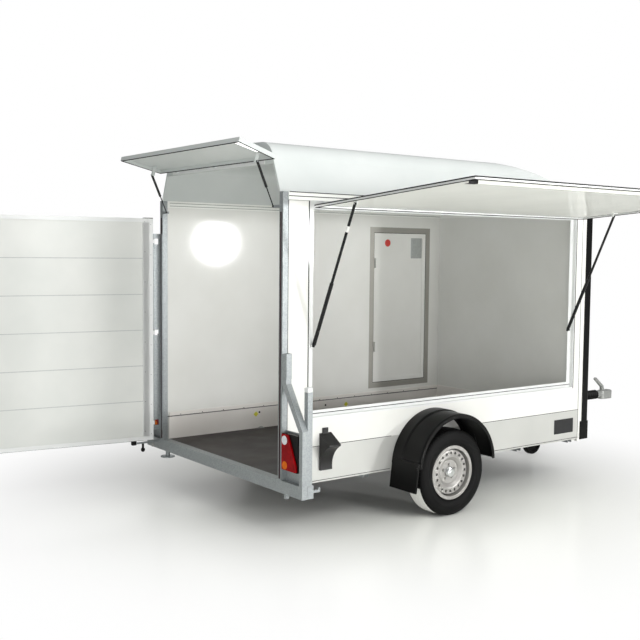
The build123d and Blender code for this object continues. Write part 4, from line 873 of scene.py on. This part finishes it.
# %% Small fittings
MOULDING_IN = WALL_IN - 10.0        # inner face of the moulding on top of the scuff strip
STRIP_IN = WALL_IN - 3.0            # inner face of the scuff strip
LEAF_IN = 831.0                     # inner face of the side door's leaf
for side, name in SIDES:
    leg = side * 1069.0
    grid, faces = rounded_box(0.0, 32.0, leg - 21.0, leg + 21.0, 40.0, 82.0, 6.0)
    upright = np.stack([grid[..., 2], grid[..., 1], 989.0 + grid[..., 0]], axis=-1)
    piece("leg_cap_" + name, upright, faces, COATED_WHITE, "trailer")
    out = "y" if side > 0 else "-y"
    heads("mudguard_bolt_" + name, [(953.0, side * 1130.0, 385.0)], 9.0, 7.5, out, BLACK_PP,
          "trailer", sides=16)

disc = [(0, 0), (34, 0), (34, 0.3), (33, 0.45), (0, 0.5)]
grid, faces = spun(disc, 48, "-y")
grid = grid + np.array([2349.0, LEAF_IN + 0.05, 1980.0])
piece("door_sticker_round", grid, faces, STICKER_RED, "side_door")
diamond, faces = spun([(0, 0), (24, 0), (24, 0.3), (23, 0.45), (0, 0.5)], 4, "-y")
for number, x in enumerate((887.0, 1866.0)):
    grid = diamond + np.array([x, STRIP_IN + 0.05, 504.0])
    piece(f"strip_sticker_{number}", grid, faces, STICKER_YELLOW, "trailer")


def flat_label(name, x0, x1, y, z0, z1, thick, material, body):
    """A thin plate in the plane of a wall, its corners rounded, its edge bevelled towards -Y."""
    a = np.linspace(0, TAU, 48, endpoint=False) + TAU / 96
    ca, sa = np.cos(a), np.sin(a)
    r = 5.0
    rows = np.array([(0.0, 0.0), (1.0, 0.0), (1.0, 0.6), (0.995, 1.0), (0.0, 1.0)])
    x = (x0 + x1) / 2 + ((x1 - x0) / 2 - r) * np.sign(ca) * rows[:, :1] + r * ca * rows[:, :1]
    z = (z0 + z1) / 2 + ((z1 - z0) / 2 - r) * np.sign(sa) * rows[:, :1] + r * sa * rows[:, :1]
    deep = np.broadcast_to(y - thick * rows[:, 1:], x.shape)
    return piece(name, np.stack([x, deep, z], axis=-1), quads(5, 48), material, body)


flat_label("door_sticker_pale", 2640.0, 2780.0, LEAF_IN + 0.2, 1838.0, 2046.0, 0.6, STICKER_GREY, "side_door")
flat_label("board_plate_right", 2742.0, 2985.0, 0.2 - HALF_W, 394.0, 514.0, 1.4, BLANK_PLATE, "trailer")

for side, name in SIDES:
    screws = [(x, side * (MOULDING_IN + 0.2), 573.0) for x in np.arange(160.0, 2960.0, 200.0)]
    heads("scuff_screws_" + name, screws, 4.0, 1.6, "-y" if side > 0 else "y", SEAL_BLACK, "trailer")
plugs = [(922.0, STRIP_IN + 0.2, 518.0), (1631.0, STRIP_IN + 0.2, 516.0)]
heads("scuff_plugs", plugs, 9.0, 2.5, "-y", SEAL_BLACK, "trailer", sides=20)


def torus(centre, radius, wire, start, stop, steps=28, sides=10):
    """A round wire bent along a part circle in the X-Z plane, its ends closed to points."""
    a = np.radians(np.linspace(start, stop, steps))
    b = np.linspace(0, TAU, sides, endpoint=False)
    thick = np.full(steps, wire)
    thick[[0, -1]] = 0.0
    reach = radius + thick[:, None] * np.cos(b)
    x = centre[0] + reach * np.cos(a)[:, None]
    z = centre[2] + reach * np.sin(a)[:, None]
    y = centre[1] + thick[:, None] * np.sin(b)
    return np.stack([x, y + 0 * x, z], axis=-1), quads(steps, sides)


RING_Y, RING_Z = WALL_IN - 19.0, FLOOR_TOP + 4.0
for number, x in enumerate((920.0, 2200.0)):
    grid, faces = torus((x, RING_Y, RING_Z), 20.0, 3.0, 0.0, 180.0)
    grid = turned(grid, 1, 2, (RING_Y, RING_Z), 55.0)
    piece(f"lashing_ring_{number}", grid, faces, ZINC, "trailer")
    plate = (x - 34.0, x + 34.0, RING_Y - 12.0, RING_Y + 12.0, RING_Z - 4.5, RING_Z + 0.5, 2.0)
    block(f"lashing_plate_{number}", plate, ZINC, "trailer")

STRUT_X = OPEN_REAR + 50.0
grid, faces = sleeve((STRUT_X, -1208.9, 2054.5), (STRUT_X, -1191.8, 2017.1), 10.0, 0.7)
piece("strut_label", grid, faces, PAPER, "side_cylinder_rear")
print("fittings added")

# %% [markdown]
# The body's panels meet in profiles with thin dark joints: at the front corners, under the roof trim,
# between white wall and silver board, and round the side opening. Each joint is a very low bead of sealant
# that stands proud of the surface by about a millimetre, as a smoothed joint does.

# %% Sealed joints of the body
POST_IN = 44.0                              # the walls show from the rear posts
CORNER = BODY_LEN - 50.0                    # to the corner profiles
BOARD_LOW = 342.0                           # bend along the foot of the silver boards
BODY_JOINTS = {
    "front": ("upright", CORNER, 330.0, WALL_TOP),
    "rear": ("upright", POST_IN, 383.0, WALL_TOP),
    "board behind the wheel": ("level", BOARD_TOP, POST_IN, 955.0),
    "board ahead of the wheel": ("level", BOARD_TOP, 1752.0, CORNER),
    "foot behind the wheel": ("level", BOARD_LOW, 62.0, 945.0),
    "foot ahead of the wheel": ("level", BOARD_LOW, 1760.0, CORNER),
    "roof": ("level", WALL_TOP, POST_IN, BODY_LEN - 1.0),
}
JOINT_HALF, JOINT_PROUD = 2.0, 0.9
for side, name in SIDES:
    face = side * HALF_W
    for label, (way, place, start, stop) in BODY_JOINTS.items():
        across = (place - JOINT_HALF, place + JOINT_HALF)
        x, z = (across, (start, stop)) if way == "upright" else ((start, stop), across)
        bead = (*x, face - JOINT_PROUD, face + JOINT_PROUD, *z, 0.6)
        block(f"joint_{label.replace(' ', '_')}_{name}", bead, SEAL_BLACK, "trailer")

for label, x in (("rear", OPEN_REAR), ("front", OPEN_FRONT)):
    bead = (x - 4.5, x + 3.5, -(HALF_W + 1.0), -(HALF_W - 2.0), SILL, WALL_TOP, 0.6)
    block("joint_side_opening_" + label, bead, SEAL_BLACK, "trailer")
bead = (OPEN_REAR + 12.0, OPEN_FRONT - 12.0, -830.2, -828.0, SILL + 31.0, SILL + 36.0, 0.6)
block("joint_side_opening_sill", bead, SEAL_BLACK, "trailer")


def level_line(name, x0, x1, y, z, half_y, half_z, r, material):
    """A low bead along the trailer, given by its ends, its middle line and its half sizes."""
    line = (x0, x1, y - half_y, y + half_y, z - half_z, z + half_z, r)
    return block(name, line, material, "trailer")


for side, name in SIDES:
    for label, z, y in (("hood", TRIM_TOP - 1.0, HALF_W + 8.8), ("step", WALL_TOP + 25.0, HALF_W + 4.8)):
        level_line(f"joint_trim_{label}_{name}", POST_IN, BODY_LEN - 2.0, side * y, z, 1.0, 2.5, 0.6,
                   SEAL_BLACK)
for label, z in (("upper", WALL_TOP + 36.0), ("lower", WALL_TOP + 14.0)):
    level_line("trim_line_" + label, 60.0, 3000.0, WALL_IN - 13.7, z, 0.9, 2.5, 0.6, ZINC)
for label, y, z in (("upper", MOULDING_IN - 0.4, 566.0), ("lower", STRIP_IN - 0.2, 561.0)):
    level_line("scuff_line_" + label, 20.0, 3005.0, y, z, 0.9, 1.5, 0.5, SEAL_BLACK)
print("joints drawn")

# %% [markdown]
# The hood's shell thins out above the front wall, so a moulded lip closes it against the roof trim. Its
# section follows the hood's outside from the trim upwards, six millimetres thick, and its ends lean in as
# the hood's sides do. The side door is sealed with a black bead in the gap round its leaf.

# %% Front lip of the hood, and seal of the side door
LIP = np.array([(3074.0, 2276.5), (3071.3, 2283.1), (3064.8, 2294.1), (3060.9, 2299.7), (3053.9, 2309.0),
                (3050.0, 2313.9), (3046.5, 2317.2), (3044.0, 2314.5), (3048.5, 2309.0), (3055.0, 2299.7),
                (3058.5, 2294.1), (3065.0, 2283.1), (3067.5, 2276.5)])
SIDE_LEAN = 86.0 / 222.0            # how far the hood's sides lean in for each millimetre up
reach = HALF_W - 33.0 - (LIP[:, 1] - TRIM_TOP) * SIDE_LEAN
ends = np.stack([LIP[:, 0], reach, LIP[:, 1]], axis=1)
mirrored = ends * np.array([1.0, -1.0, 1.0])
pole = np.broadcast_to(ends.mean(axis=0), ends.shape)
far_pole = np.broadcast_to(mirrored.mean(axis=0), ends.shape)
lip = np.stack([far_pole, mirrored, ends, pole])
piece("hood_front_lip", lip, quads(4, len(LIP)), GELCOAT, "trailer")

GAP_REAR, GAP_FRONT = BODY_LEN - 912.5, BODY_LEN - 267.5
GAP_LOW, GAP_TOP = BOARD_TOP + 101.5, WALL_TOP - 153.5
door_gap = [(GAP_REAR, GAP_LOW), (GAP_REAR, GAP_TOP), (GAP_FRONT, GAP_TOP), (GAP_FRONT, GAP_LOW)]
grid, faces = ring(door_gap, half_round(4.6, 1.6, 5))
grid = np.stack([grid[..., 0], LEAF_IN - 2.0 - grid[..., 2], grid[..., 1]], axis=-1)
piece("side_door_seal", grid, faces, SEAL_BLACK, "trailer")
print("hood closed at the front, side door sealed")

# %% [markdown]
# At the left end of the rear beam sits the catch that holds the open door: a flat bar with a black end, a
# bolt and a black grip. It lies below the door's lower edge, so the door swings over it.

# %% Catch of the open door
CATCH_Y, CATCH_LOW = HALF_W + 45.0, 352.0
block("door_catch_bar", (-228.0, -4.0, CATCH_Y - 12.0, CATCH_Y + 12.0, CATCH_LOW, CATCH_LOW + 14.0, 4.0),
      GALVANISED, "trailer")
block("door_catch_foot", (-4.0, 52.0, CATCH_Y - 20.0, CATCH_Y + 20.0, CATCH_LOW - 2.0, FLOOR_TOP, 4.0),
      GALVANISED, "trailer")
grip = [(0, 0), (9, 0), (9, 34), (15, 40), (17, 50), (14, 60), (8, 66), (0, 67)]
grid, faces = spun(grip, 20, "-z")
grid = grid + np.array([-134.0, CATCH_Y, CATCH_LOW])
piece("door_catch_grip", grid, faces, BLACK_PP, "trailer")
grid, faces = spun([(0, 0), (7, 0), (7, 12), (11, 14), (11, 30), (7, 34), (0, 34.5)], 20, "-z")
grid = grid + np.array([-46.0, CATCH_Y, CATCH_LOW])
piece("door_catch_bolt", grid, faces, ZINC, "trailer")
end_box = (-232.0, -196.0, CATCH_Y - 16.0, CATCH_Y + 16.0, CATCH_LOW - 6.0, CATCH_LOW + 36.0, 5.0)
block("door_catch_end", end_box, BLACK_PP, "trailer")
print("door catch added")
